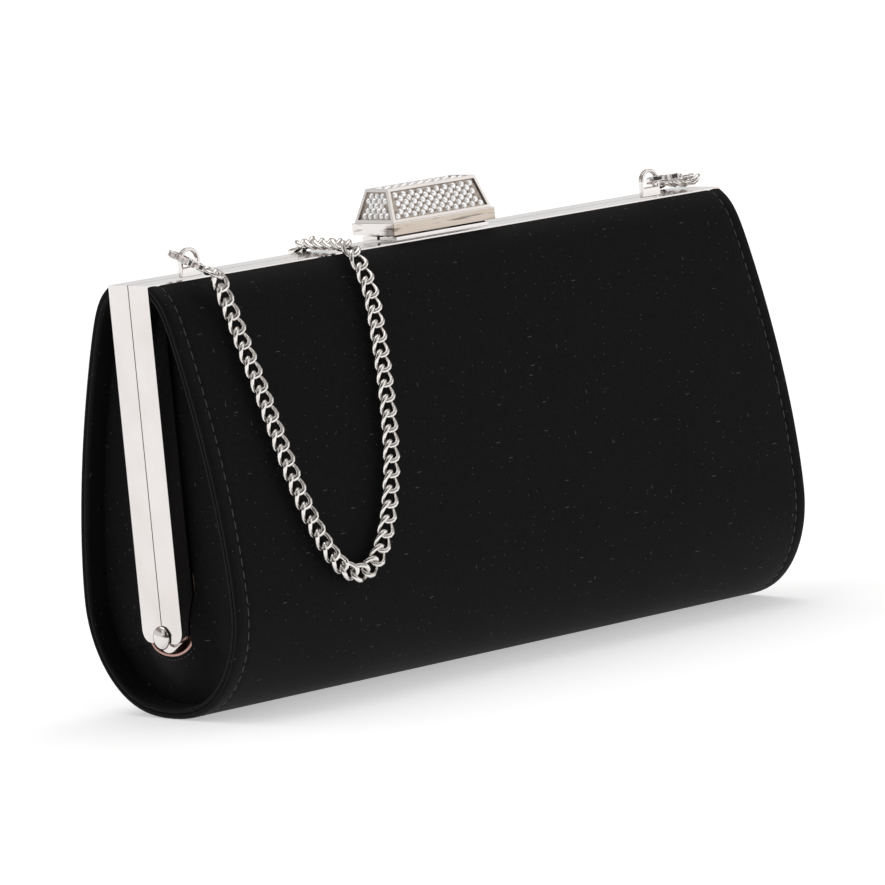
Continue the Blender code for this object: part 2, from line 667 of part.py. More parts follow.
def build_hardware(front):
    """Lugs, lobster clasps with their triggers and pins, and the rings that hold the chain."""
    for side, x in LUG_X.items():
        add_object(f"chain_lug_{side}", lug_mesh(x), "silver", front)
        place = lobster_frame(side)
        pin_at = place @ Vector((*TRIGGER_PIN, 0))
        hinge = bpy.data.objects.new(f"trigger_axis_{side}", None)
        hinge.location = pin_at
        bpy.context.collection.objects.link(hinge)
        bpy.context.view_layer.update()
        body, gate = lobster_mesh(), trigger_mesh()
        hole = prism(circle(TRIGGER_BORE, TRIGGER_PIN, 12), -2 * MM, 2 * MM, axis="z")
        pin_half = LOBSTER_THICK / 2 + 0.2 * MM
        pin = prism(circle(TRIGGER_PIN_RADIUS, TRIGGER_PIN, 10), -pin_half, pin_half, axis="z")
        for mesh in (body, gate, hole, pin):
            mesh.transform(place)
        add_object(f"lobster_body_{side}", body, "silver", front)
        joined(add_object(f"lobster_trigger_{side}", gate, "silver", hinge), [hole], "DIFFERENCE")
        add_object(f"trigger_pin_{side}", pin, "steel", front)
        add_object(f"chain_ring_{side}", ring_mesh(place), "silver", front, smooth=60)


def smooth_route(route, spacing):
    """Evenly spaced points on a smooth curve through the route's own points."""
    points = [Vector(p) for p in route]
    padded = [2 * points[0] - points[1]] + points + [2 * points[-1] - points[-2]]
    dense = []
    for a, b, c, d in zip(padded, padded[1:], padded[2:], padded[3:]):
        for k in range(20):
            t = k / 20
            dense.append(0.5 * ((2 * b) + (c - a) * t + (2 * a - 5 * b + 4 * c - d) * t * t
                                + (3 * b - a - 3 * c + d) * t ** 3))
    dense.append(points[-1])
    total = sum((q - p).length for p, q in zip(dense, dense[1:]))
    count = max(2, round(total / spacing))
    picked, walked, k = [dense[0]], 0.0, 0
    for j in range(1, count):
        target = total * j / count
        while walked + (dense[k + 1] - dense[k]).length < target:
            walked += (dense[k + 1] - dense[k]).length
            k += 1
        leg = (dense[k + 1] - dense[k]).length
        picked.append(dense[k].lerp(dense[k + 1], (target - walked) / leg))
    return picked + [dense[-1]]


def on_side(x, z, sign):
    """A place on the shell's front (-1) or back (1), lifted by the chain's half thickness."""
    if z <= BELLY_Z:
        return x, sign * (BELLY_RADIUS + CHAIN_LIFT), z
    t = (z - BELLY_Z) / (SHELL_TOP - BELLY_Z)
    y, height = side_point(t, -CHAIN_LIFT)
    return x, sign * y, height


def millimetres(points):
    """Points given in millimetres, as metres."""
    return [tuple(c * MM for c in p) for p in points]


# Where the chain lies on the shell, as (x, z) in millimetres
FRONT_LOOP = [(-77.5, 95.5), (-76.8, 86), (-75.6, 76), (-74.2, 65), (-72.2, 54), (-69.2, 44.5), (-65.5, 37),
              (-61.5, 32.5), (-57.5, 31), (-53, 32.2), (-48.8, 37), (-45, 45), (-41.6, 55), (-39, 66),
              (-36.8, 77),
              (-34.8, 88), (-33.4, 96.5)]
BACK_FALL = [(-31, 96.5), (-30.8, 84), (-30.8, 70), (-30.6, 56), (-30.2, 43), (-29, 30)]
BACK_CLIMB = [(82.4, 30), (84.4, 43), (86, 56), (87.2, 70), (88.2, 84), (89, 96.5)]
RAIL_LEVEL = FRAME_TOP + CHAIN_LIFT


def on_shell(places, sign):
    """The chain's points over places on the shell's front (-1) or back (1)."""
    return [on_side(x, z, sign) for x, z in millimetres(places)]


def chain_routes():
    """The points of each of the chain's stretches."""
    seam, floor = GAP / 2, CHAIN_RADIUS + 0.1 * MM
    cx, cy = COIL_AT
    near = cy - COIL_OUTER
    loop = (millimetres([(-79.2, -16.2, 102.6), (-78.4, -16.3, 99.6)]) + on_shell(FRONT_LOOP, -1)
            + millimetres([(-33.6, -12.6, 104.9), (-33.2, -8.8, 107.6), (-32.8, -4.5, 107.8)])
            + [(CROSS_X, -seam, RAIL_LEVEL)])
    fall = ([(CROSS_X, seam, RAIL_LEVEL)]
            + millimetres([(-32.1, 4.6, 107.8), (-31.7, 8.9, 107.6), (-31.3, 12.6, 104.9)])
            + on_shell(BACK_FALL, 1)
            + millimetres([(-26, 31.5, 18), (-23, 32.5, 8), (-17, 33.7, 2.4)])
            + [(-8 * MM, near + 0.6 * MM, floor), (6 * MM, near - 0.6 * MM, floor),
               (cx - 4 * MM, near - CHAIN_RADIUS - GAP, floor)])
    climb = ([(cx + COIL_OUTER + CHAIN_RADIUS + GAP, cy + 2 * MM, floor),
              (cx + COIL_OUTER + 4 * MM, cy - 10 * MM, floor),
              (cx + COIL_OUTER + 10 * MM, cy - 19 * MM, floor)]
             + millimetres([(68, 34.5, 2.2), (76, 32.5, 7), (80, 31.5, 17)]) + on_shell(BACK_CLIMB, 1)
             + millimetres([(89.6, 12.6, 104.9), (90, 8.9, 107.6), (90.3, 4.6, 107.8)])
             + [(90.6 * MM, seam, RAIL_LEVEL)])
    tail = [(90.6 * MM, -seam, RAIL_LEVEL), (90.7 * MM, -1.6 * MM, RAIL_LEVEL + 0.2 * MM)]
    return {"chain_front": loop, "chain_fall": fall, "chain_climb": climb, "chain_tail": tail}


def build_chain(root, front):
    """The chain's stretches as plain tubes, and its wound length as one ring."""
    bodies = {"chain_front": front, "chain_fall": root, "chain_climb": root, "chain_tail": front}
    for node, route in chain_routes().items():
        curve = tube_mesh(smooth_route(route, 6.5 * MM), CHAIN_RADIUS, 2)
        add_object(node, curve, None, bodies[node]).data.materials.append(material_of(node, "silver"))
    rounds = [circle(COIL_OUTER, COIL_AT, 32), circle(COIL_INNER, COIL_AT, 32)]
    add_object("chain_coil", band(*rounds, 0, COIL_TALL, axis="z", closed=True), "silver", root, smooth=30)


def pivot_empty(name, y, z):
    """An empty on a joint's axis, which the joint's pieces are parented to."""
    empty = bpy.data.objects.new(name, None)
    empty.location = (0, y, z)
    bpy.context.collection.objects.link(empty)
    return empty


def main():
    """Build the bag."""
    clear_scene()
    root = pivot_empty("back_half", 0, 0)
    front = pivot_empty("front_half_axis", 0, PIVOT_Z)
    tilt = pivot_empty("clasp_axis", CLASP_AXIS_Y, CLASP_AXIS_Z)
    bpy.context.view_layer.update()
    build_shell(root, front)
    build_frame(root, front)
    build_gussets(root, front)
    build_clasp(root, front, tilt)
    build_hardware(front)
    build_chain(root, front)


main()
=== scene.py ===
"""Evening bag: the visual model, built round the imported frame.

Metres, +Z up. X runs along the bag, -Y is its front, and the origin is the middle of its flat base.
"""
import logging
import math
from dataclasses import dataclass, field
from enum import Enum
from typing import Iterable, Sequence

import bmesh
import bpy
from mathutils import Matrix, Vector
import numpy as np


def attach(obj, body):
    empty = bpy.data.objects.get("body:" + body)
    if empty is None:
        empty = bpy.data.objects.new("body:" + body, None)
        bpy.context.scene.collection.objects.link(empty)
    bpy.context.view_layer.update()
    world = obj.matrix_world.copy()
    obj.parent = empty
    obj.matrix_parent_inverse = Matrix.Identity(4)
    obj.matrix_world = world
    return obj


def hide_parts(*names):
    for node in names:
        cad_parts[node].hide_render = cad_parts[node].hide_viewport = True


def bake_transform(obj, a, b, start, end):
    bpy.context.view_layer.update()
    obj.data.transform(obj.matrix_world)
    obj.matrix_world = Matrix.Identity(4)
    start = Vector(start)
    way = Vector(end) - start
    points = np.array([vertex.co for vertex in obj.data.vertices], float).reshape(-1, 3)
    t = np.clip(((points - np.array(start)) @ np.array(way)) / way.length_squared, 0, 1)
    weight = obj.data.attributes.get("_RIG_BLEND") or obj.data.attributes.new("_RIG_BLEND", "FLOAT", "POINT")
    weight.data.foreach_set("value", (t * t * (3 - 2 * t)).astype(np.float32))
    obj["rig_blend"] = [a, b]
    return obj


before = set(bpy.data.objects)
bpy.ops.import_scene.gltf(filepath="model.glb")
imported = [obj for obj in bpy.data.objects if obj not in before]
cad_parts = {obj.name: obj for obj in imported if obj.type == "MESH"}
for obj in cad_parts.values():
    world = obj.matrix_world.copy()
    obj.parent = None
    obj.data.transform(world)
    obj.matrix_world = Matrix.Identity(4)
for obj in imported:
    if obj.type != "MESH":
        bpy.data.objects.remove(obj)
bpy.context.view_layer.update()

MM = 0.001
ENDS = {"left": -1, "right": 1}

HALF_LENGTH = 95 * MM
PIVOT_Z = 20 * MM
RAIL_ZONE = 60 * MM  # above this height the cloth is kept clear of the rails
UV_START = (0.1, 0.02)  # where the cloth's pattern starts, in metres

Number = float | int
Pair = tuple[float, float]
Triple = tuple[float, float, float]
Inputs = dict[int | str, object]
log = logging.getLogger("evening_bag")


class Body(str, Enum):
    """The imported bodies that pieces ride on."""

    BACK = "back_half"
    FRONT = "front_half"
    CLASP = "clasp"
    TRIGGER_LEFT = "trigger_left"
    TRIGGER_RIGHT = "trigger_right"


class Slot(str, Enum):
    """The record's material slots."""

    SATIN = "satin"
    SILVER = "silver"
    LINING = "lining"
    STONES = "stones"
    STEEL = "steel"


# Small geometry -----------------------------------------------------------------------------------

def steps(start: float, end: float, count: int) -> list[float]:
    """Evenly spaced values from start to end, both included."""
    return [start + (end - start) * k / count for k in range(count + 1)]


def smooth(low: float, high: float, value: float) -> float:
    """A smooth step from 0 at low to 1 at high."""
    t = min(1.0, max(0.0, (value - low) / (high - low)))
    return t * t * (3 - 2 * t)


def metres(points: Iterable[Sequence[float]]) -> list[Vector]:
    """Points given in millimetres, as vectors in metres."""
    return [Vector(p) * MM for p in points]


def resampled(points: Sequence[Vector], spacing: float) -> list[Vector]:
    """Evenly spaced points along a line.

    Args:
        points: The line's own points.
        spacing: The distance wanted between the new points.

    Returns:
        The new points, which keep both ends.
    """
    legs = [(b - a).length for a, b in zip(points, points[1:])]
    total = sum(legs)
    count = max(2, round(total / spacing))
    made, walked, k = [points[0].copy()], 0.0, 0
    for j in range(1, count):
        target = total * j / count
        while walked + legs[k] < target:
            walked += legs[k]
            k += 1
        made.append(points[k].lerp(points[k + 1], (target - walked) / legs[k]))
    return made + [points[-1].copy()]


def curve_through(route: Sequence[Vector], spacing: float) -> list[Vector]:
    """Evenly spaced points on a smooth curve through a route's points."""
    ends = [2 * route[0] - route[1], *route, 2 * route[-1] - route[-2]]
    dense = []
    for a, b, c, d in zip(ends, ends[1:], ends[2:], ends[3:]):
        for t in steps(0, 1, 20)[:-1]:
            dense.append(0.5 * (2 * b + (c - a) * t + (2 * a - 5 * b + 4 * c - d) * t * t
                                + (3 * b - a - 3 * c + d) * t ** 3))
    return resampled(dense + [route[-1]], spacing)


def tangents(points: Sequence[Vector]) -> list[Vector]:
    """The direction of a line at each of its points."""
    last = len(points) - 1
    return [(points[min(k + 1, last)] - points[max(k - 1, 0)]).normalized()
            for k in range(last + 1)]


def circle(sides: int) -> list[float]:
    """The angles of a circle's points."""
    return steps(0, math.tau, sides)[:-1]


# Meshes and pieces --------------------------------------------------------------------------------

class Smoothness(Enum):
    """How a mesh's faces are shaded: the angle over which an edge stays sharp, in degrees."""

    FLAT = 0
    ROUND = 60


def new_object(name: str, mesh: bpy.types.Mesh) -> bpy.types.Object:
    """A mesh's object, placed in the scene."""
    mesh.name = name
    obj = bpy.data.objects.new(name, mesh)
    bpy.context.scene.collection.objects.link(obj)
    return obj


def shade(mesh: bpy.types.Mesh, smoothness: Smoothness) -> None:
    """Shade a mesh smoothly but for its sharp edges."""
    if smoothness is not Smoothness.FLAT:
        mesh.shade_smooth()
        mesh.set_sharp_from_angle(angle=math.radians(smoothness.value))


def mesh_from(verts: Sequence[Sequence[float]], faces: Sequence[Sequence[int]],
              smoothness: Smoothness = Smoothness.ROUND,
              uvs: Sequence[Pair] | None = None) -> bpy.types.Mesh:
    """A closed mesh whose faces point outwards.

    Args:
        verts: The points.
        faces: The faces, as indices of points.
        smoothness: How it is shaded.
        uvs: Where each point lies on the cloth, in metres, if it is cloth.

    Returns:
        The mesh.
    """
    mesh = bpy.data.meshes.new("shape")
    mesh.from_pydata([tuple(v) for v in verts], [], [tuple(f) for f in faces])
    bm = bmesh.new()
    bm.from_mesh(mesh)
    if uvs:
        layer = bm.loops.layers.uv.new("cloth")
        for face in bm.faces:
            for loop in face.loops:
                loop[layer].uv = uvs[loop.vert.index]
    bmesh.ops.recalc_face_normals(bm, faces=bm.faces)
    bm.to_mesh(mesh)
    bm.free()
    shade(mesh, smoothness)
    return mesh


def loft(rings: Sequence[Sequence[Vector]], closed: bool = False, capped: bool = True
         ) -> tuple[list[Vector], list[tuple[int, ...]]]:
    """Points and faces of a skin over closed rings of equal size.

    Args:
        rings: The rings, in order.
        closed: Whether the last ring joins the first.
        capped: Whether the first and last rings are filled.

    Returns:
        The points, and the faces as indices of them.
    """
    n, count = len(rings[0]), len(rings)
    verts = [p for ring in rings for p in ring]
    faces: list[tuple[int, ...]] = []
    for i in range(count if closed else count - 1):
        a, b = i * n, (i + 1) % count * n
        faces += [(a + k, a + (k + 1) % n, b + (k + 1) % n, b + k) for k in range(n)]
    if capped and not closed:
        faces += [tuple(range(n)), tuple(range((count - 1) * n, count * n))]
    return verts, faces


def tube(points: Sequence[Vector], radius: float, sides: int = 8) -> bpy.types.Mesh:
    """A round tube along a line."""
    along = tangents(points)
    side = along[0].orthogonal().normalized()
    rings = []
    for point, ahead in zip(points, along):
        side = (side - ahead * side.dot(ahead)).normalized()
        across = ahead.cross(side)
        rings.append([point + (side * math.cos(a) + across * math.sin(a)) * radius
                      for a in circle(sides)])
    return mesh_from(*loft(rings))


def turned(profile: Sequence[Pair], place: Matrix, count: int = 40) -> bpy.types.Mesh:
    """A profile of (height, radius) turned about the local Z of a place, closed at both ends."""
    rings = [[place @ Vector((r * math.cos(a), r * math.sin(a), h)) for a in circle(count)]
             for h, r in profile]
    return mesh_from(*loft(rings))


def applied(obj: bpy.types.Object) -> bpy.types.Mesh:
    """An object's mesh with its modifiers applied. The object and its own mesh are removed."""
    own = obj.data
    graph = bpy.context.evaluated_depsgraph_get()
    made = bpy.data.meshes.new_from_object(obj.evaluated_get(graph))
    bpy.data.objects.remove(obj)
    bpy.data.meshes.remove(own)
    return made


def refined(node: str, width: float, segments: int = 2) -> bpy.types.Mesh:
    """A CAD node's own shape with its edges rounded.

    Args:
        node: The node to take the shape from.
        width: How wide its rounded edges are.
        segments: How many faces go round each edge.

    Returns:
        A new mesh.
    """
    merge_gap, flat_angle, edge_angle = 0.004 * MM, math.radians(0.6), math.radians(28)
    bm = bmesh.new()
    bm.from_mesh(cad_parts[node].data)
    bmesh.ops.remove_doubles(bm, verts=bm.verts, dist=merge_gap)
    bmesh.ops.dissolve_limit(bm, angle_limit=flat_angle, verts=bm.verts, edges=bm.edges)
    mesh = bpy.data.meshes.new(node)
    bm.to_mesh(mesh)
    bm.free()
    mesh.materials.clear()
    mesh.shade_smooth()
    obj = new_object("refining", mesh)
    bevel = obj.modifiers.new("rounding", "BEVEL")
    bevel.width, bevel.segments = width, segments
    bevel.limit_method, bevel.angle_limit = "ANGLE", edge_angle
    weighted = obj.modifiers.new("even_shading", "WEIGHTED_NORMAL")
    weighted.mode, weighted.weight = "FACE_AREA", 100
    return applied(obj)


def softened(node: str, voxel: float, passes: int) -> bpy.types.Mesh:
    """A CAD node's own shape, smoothed like a small casting.

    Args:
        node: The node to take the shape from.
        voxel: The size of the new faces.
        passes: How many times they are smoothed.

    Returns:
        A new mesh.
    """
    obj = new_object("softening", refined(node, 0.1 * MM, 1))
    remesh = obj.modifiers.new("even_faces", "REMESH")
    remesh.mode, remesh.voxel_size = "VOXEL", voxel
    smoothing = obj.modifiers.new("smoothing", "SMOOTH")
    smoothing.factor, smoothing.iterations = 0.5, passes
    made = applied(obj)
    shade(made, Smoothness.ROUND)
    return made


def add_node(tree: bpy.types.NodeTree, kind: str, settings: dict[str, object] | None = None,
             inputs: Inputs | None = None) -> bpy.types.Node:
    """Add one node to a tree.

    Args:
        tree: The tree.
        kind: The node's type.
        settings: Its settings, set before its sockets.
        inputs: Values or links of its sockets, by name or number.

    Returns:
        The node.
    """
    made = tree.nodes.new(kind)
    for key, value in (settings or {}).items():
        setattr(made, key, value)
    for key, value in (inputs or {}).items():
        if isinstance(value, bpy.types.NodeSocket):
            tree.links.new(value, made.inputs[key])
        else:
            made.inputs[key].default_value = value
    return made


@dataclass(frozen=True)
class Bend:
    """Where cloth that joins the two halves bends between them."""

    start: Triple
    end: Triple


BASE_BEND = Bend((0, 4 * MM, 5 * MM), (0, -25 * MM, 5 * MM))
PLEAT_BEND = Bend((0, 6.5 * MM, 60 * MM), (0, -6.5 * MM, 60 * MM))
RAIL_BEND = Bend((-32.86 * MM, 9 * MM, 107 * MM), (-32.14 * MM, -9 * MM, 107 * MM))


def add_piece(name: str, mesh: bpy.types.Mesh, material: bpy.types.Material | None,
              place: Body | Bend, replaces: Sequence[str] = ()) -> bpy.types.Object:
    """Put a finished mesh in the scene as one piece of the bag.

    Args:
        name: The piece's name.
        mesh: Its mesh, already in place.
        material: Its material, or None where the mesh has it.
        place: The body that it rides on, or how it bends between the two halves.
        replaces: The CAD nodes that it stands for.

    Returns:
        The piece.
    """
    obj = new_object(name, mesh)
    if material is not None:
        mesh.materials.clear()
        mesh.materials.append(material)
    if isinstance(place, Bend):
        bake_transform(obj, Body.BACK.value, Body.FRONT.value, start=place.start, end=place.end)
    else:
        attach(obj, place.value)
    if replaces:
        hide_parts(*replaces)
    log.info("%s: %d faces", name, len(mesh.polygons))
    return obj


# Materials ----------------------------------------------------------------------------------------

class Value:
    """One socket of a material, with arithmetic that adds its nodes."""

    def __init__(self, shader: "Shader", socket: bpy.types.NodeSocket) -> None:
        """Wrap a socket of a shader."""
        self.shader = shader
        self.socket = socket

    def maths(self, operation: str, *others: "Value | Number") -> "Value":
        """This value and others put through one Math node."""
        return self.shader.node("ShaderNodeMath", {"operation": operation},
                                dict(enumerate((self, *others))))

    def __add__(self, other: "Value | Number") -> "Value":
        """The sum."""
        return self.maths("ADD", other)

    __radd__ = __add__

    def __sub__(self, other: "Value | Number") -> "Value":
        """The difference."""
        return self.maths("SUBTRACT", other)

    def __rsub__(self, other: Number) -> "Value":
        """A number less this value."""
        return (self * -1) + other

    def __mul__(self, other: "Value | Number") -> "Value":
        """The product."""
        return self.maths("MULTIPLY", other)

    __rmul__ = __mul__

    def __truediv__(self, other: "Value | Number") -> "Value":
        """The quotient."""
        return self.maths("DIVIDE", other)

    def __rtruediv__(self, other: Number) -> "Value":
        """A number over this value."""
        return self.shader.node("ShaderNodeMath", {"operation": "DIVIDE"}, {0: other, 1: self})

    def over(self, edge: float, width: float) -> "Value":
        """A mask that rises from 0 to 1 over a width round an edge."""
        rise = (self - (edge - width / 2)) / width
        return rise.maths("MINIMUM", 1.0).maths("MAXIMUM", 0.0)

    def sine(self) -> "Value":
        """The sine."""
        return self.maths("SINE")


class Shader:
    """A Principled material that is built up node by node."""

    def __init__(self, name: str, **constants: Number | tuple) -> None:
        """Make the material.

        Args:
            name: The material's name.
            constants: Values of the shader's own sockets, with underscores for spaces.
        """
        self.material = bpy.data.materials.new(name)
        self.material.use_nodes = True
        self.tree = self.material.node_tree
        self.surface = self.tree.nodes["Principled BSDF"]
        for key, value in constants.items():
            self.surface.inputs[key.replace("_", " ")].default_value = value

    def node(self, kind: str, settings: dict[str, object] | None = None,
             inputs: Inputs | None = None, output: int | str = 0) -> Value:
        """Add one node.

        Args:
            kind: Its type.
            settings: Its settings, set before its sockets.
            inputs: What goes into its sockets, by name or number.
            output: Which of its outputs is wanted.

        Returns:
            That output.
        """
        plain = {key: value.socket if isinstance(value, Value) else value
                 for key, value in (inputs or {}).items()}
        return Value(self, add_node(self.tree, kind, settings, plain).outputs[output])

    def place(self) -> Value:
        """Where a point is on the object."""
        return self.node("ShaderNodeTexCoord", output="Object")

    def cloth(self) -> Value:
        """Where a point is on the cloth."""
        return self.node("ShaderNodeUVMap", {"uv_map": "cloth"})

    def stretched(self, vector: Value, scale: Triple, turn: float = 0) -> Value:
        """A vector scaled along each axis, after a turn about Z."""
        return self.node("ShaderNodeMapping", {"vector_type": "POINT"},
                         {"Vector": vector, "Scale": scale, "Rotation": (0, 0, turn)})

    def axis(self, vector: Value, name: str) -> Value:
        """One axis of a vector."""
        return self.node("ShaderNodeSeparateXYZ", inputs={"Vector": vector}, output=name)

    def noise(self, vector: Value, scale: float, detail: float = 2,
              roughness: float = 0.5) -> Value:
        """Soft noise, from 0 to 1."""
        inputs = {"Vector": vector, "Scale": scale, "Detail": detail, "Roughness": roughness}
        return self.node("ShaderNodeTexNoise", inputs=inputs, output="Fac")

    def cells(self, vector: Value, scale: float) -> tuple[Value, Value]:
        """The distance to the nearest cell's middle, and a number of that cell's own."""
        near = self.node("ShaderNodeTexVoronoi", {"voronoi_dimensions": "2D"},
                         {"Vector": vector, "Scale": scale}, "Distance")
        colour = Value(self, near.socket.node.outputs["Color"])
        return near, self.node("ShaderNodeSeparateColor", inputs={"Color": colour}, output="Red")

    def mixed(self, factor: Value, a: Value | tuple, b: Value | tuple) -> Value:
        """Two colours mixed by a factor."""
        sockets = {"Factor": factor, 6: a if isinstance(a, Value) else (*a, 1),
                   7: b if isinstance(b, Value) else (*b, 1)}
        return self.node("ShaderNodeMix", {"data_type": "RGBA"}, sockets, output=2)

    def bump(self, height: Value, distance: float, strength: float) -> None:
        """Raise the surface by a height from 0 to 1, over a distance in metres."""
        inputs = {"Height": height, "Distance": distance, "Strength": strength}
        self.feed("Normal", self.node("ShaderNodeBump", inputs=inputs))

    def feed(self, socket: str, value: Value) -> None:
        """Feed one of the surface's varying sockets."""
        self.tree.links.new(value.socket, self.surface.inputs[socket])


@dataclass(frozen=True)
class Satin:
    """Fine black cloth with a soft bloom, a cloudy tone, and a little lint."""

    name: str = "black_satin"
    dark: Triple = (0.0006, 0.0005, 0.0006)
    light: Triple = (0.0088, 0.0074, 0.0079)
    lint: Triple = (0.10, 0.094, 0.096)
    thread: float = 0.28 * MM
    slub_scale: Triple = (260, 2600, 1)
    cloud_scale: float = 34
    grain_scale: float = 1500
    relief: float = 0.05 * MM
    lint_share: float = 0.3
    speck: Pair = (330, 0.038)
    hair: Pair = (190, 0.015)
    hair_turns: tuple[tuple[float, Triple], ...] = (
        (0.5, (1, 0.16, 1)), (-0.9, (0.14, 1, 1)), (2.2, (0.12, 1, 1)))

    def build(self) -> bpy.types.Material:
        """Make the material."""
        s = Shader(self.name, Specular_IOR_Level=0.12, Sheen_Weight=0.04, Sheen_Roughness=0.42,
                   Sheen_Tint=(0.9, 0.88, 0.9, 1))
        at, place = s.cloth(), s.place()
        u, v = s.axis(at, "X"), s.axis(at, "Y")
        pitch = math.tau / self.thread
        weave = (u * pitch).sine() * (v * pitch * 0.5).sine() * 0.5 + 0.5
        slub = s.noise(s.stretched(at, self.slub_scale), 1.0, 3)
        cloud = s.noise(place, self.cloud_scale, 3, 0.6)
        grain = s.noise(place, self.grain_scale, 2)
        tone = (cloud * 0.35 + grain * 1.1 + slub * 0.35 - 0.58).maths("MAXIMUM", 0.0)
        specks = self.specks(s, at, self.speck, (1, 1, 1), 0.3)
        for turn, stretch in self.hair_turns:
            specks = specks.maths("MAXIMUM", self.specks(s, at, self.hair, stretch, turn))
        cloth = s.mixed(tone, self.dark, self.light)
        s.feed("Base Color", s.mixed(specks, cloth, self.lint))
        s.feed("Roughness", 0.62 + cloud * 0.16)
        s.bump(weave * 0.6 + slub * 0.5 + grain * 0.4, self.relief, 0.55)
        return s.material

    def specks(self, s: Shader, at: Value, kind: Pair, stretch: Triple, turn: float) -> Value:
        """Specks or short hairs, by (scale, radius), in a share of the cells of a pattern."""
        scale, radius = kind
        near, own = s.cells(s.stretched(at, stretch, turn), scale)
        return (1 - near.over(radius, radius * 0.8)) * own.over(1 - self.lint_share, 0.02)


@dataclass(frozen=True)
class Silver:
    """Polished metal with faint smudges and hairlines."""

    name: str = "polished_silver"
    colour: Triple = (0.79, 0.765, 0.755)
    tarnish: Triple = (0.70, 0.66, 0.635)
    polish: float = 0.07
    smudge: float = 0.07
    scale: float = 60.0
    hair_scale: Triple = (90, 2400, 2400)
    relief: float = 0.006 * MM

    def tint(self, s: Shader, place: Value, cloud: Value) -> Value:
        """The metal's colour over the piece."""
        return s.mixed(cloud.over(0.55, 0.5), self.colour, self.tarnish)

    def build(self) -> bpy.types.Material:
        """Make the material."""
        s = Shader(self.name, Metallic=1.0)
        place = s.place()
        cloud = s.noise(place, self.scale, 4, 0.6)
        hairs = s.noise(s.stretched(place, self.hair_scale), 1.0, 2)
        s.feed("Base Color", self.tint(s, place, cloud))
        s.feed("Roughness", self.polish + cloud * self.smudge + hairs * 0.03)
        s.bump(hairs * 0.4 + cloud * 0.6, self.relief, 0.25)
        return s.material


@dataclass(frozen=True)
class SkirtSilver(Silver):
    """The clasp's metal, with a painted warm reflection on the front of its skirt's lower edge, and dark
    streaks along that lower edge.
    """

    name: str = "clasp_silver"
    # Painted warm reflection of the light surroundings, laid on the front of the skirt's lower edge.
    painted_warm_reflection: Triple = (0.50, 0.42, 0.345)
    streak: Triple = (0.14, 0.11, 0.09)
    skirt: Pair = (107.6 * MM, 110.6 * MM)
    front_from: float = 7.4 * MM
    ripple_scale: Triple = (40, 40, 900)
    streak_scale: Triple = (90, 130, 900)

    def tint(self, s: Shader, place: Value, cloud: Value) -> Value:
        """The metal's colour over the piece, with the painted warm reflection on the front of the skirt's
        lower edge.
        """
        height = (s.axis(place, "Z") - self.skirt[0]) / (self.skirt[1] - self.skirt[0])
        low = 1 - height.over(0.98, 0.06)
        front = (s.axis(place, "Y") * -1).over(self.front_from, 0.6 * MM)
        ripple = s.noise(s.stretched(place, self.ripple_scale), 1.0, 2) * 0.4
        # Paint the warm reflection, rippled, on the front of the lower skirt.
        with_painted_reflection = s.mixed((ripple + 0.62) * low * front, super().tint(s, place, cloud), self.painted_warm_reflection)
        streaks = s.noise(s.stretched(place, self.streak_scale), 1.0, 3).over(0.6, 0.1)
        return s.mixed(streaks * low * 0.75, with_painted_reflection, self.streak)


@dataclass(frozen=True)
class Lining:
    """Nude-pink lining cloth in a plain weave."""

    name: str = "pink_lining"
    colour: Triple = (0.56, 0.30, 0.25)
    pale: Triple = (0.72, 0.46, 0.40)
    thread: float = 0.4 * MM
    relief: float = 0.05 * MM

    def build(self) -> bpy.types.Material:
        """Make the material."""
        s = Shader(self.name, Specular_IOR_Level=0.3, Sheen_Weight=0.2, Sheen_Roughness=0.5)
        place = s.place()
        cloud, grain = s.noise(place, 60, 3), s.noise(place, 1800, 2)
        across, down = ((s.axis(place, axis) * (math.tau / self.thread)).sine() for axis in "XZ")
        s.feed("Base Color", s.mixed(cloud * 0.6 + grain * 0.4, self.colour, self.pale))
        s.feed("Roughness", 0.55 + grain * 0.2)
        s.bump(across * down * 0.3 + grain * 0.7, self.relief, 0.5)
        return s.material


@dataclass(frozen=True)
class Plain:
    """A simple finish whose tone and polish vary a little over the piece."""

    name: str
    colour: Triple
    shade: Triple
    roughness: float
    metallic: float = 0.0
    specular: float = 0.5
    scale: float = 900.0
    relief: float = 0.02 * MM
    # How strongly the piece glows though it is no lamp: painted light.
    painted_glow: float = 0.0

    def build(self) -> bpy.types.Material:
        """Make the material."""
        s = Shader(self.name, Metallic=self.metallic, Specular_IOR_Level=self.specular,
                   Emission_Color=(1, 1, 1, 1), Emission_Strength=self.painted_glow)
        place = s.place()
        cloud = s.noise(place, self.scale, 3)
        s.feed("Base Color", s.mixed(cloud, self.colour, self.shade))
        s.feed("Roughness", self.roughness + cloud * 0.1)
        s.bump(cloud, self.relief, 0.4)
        return s.material


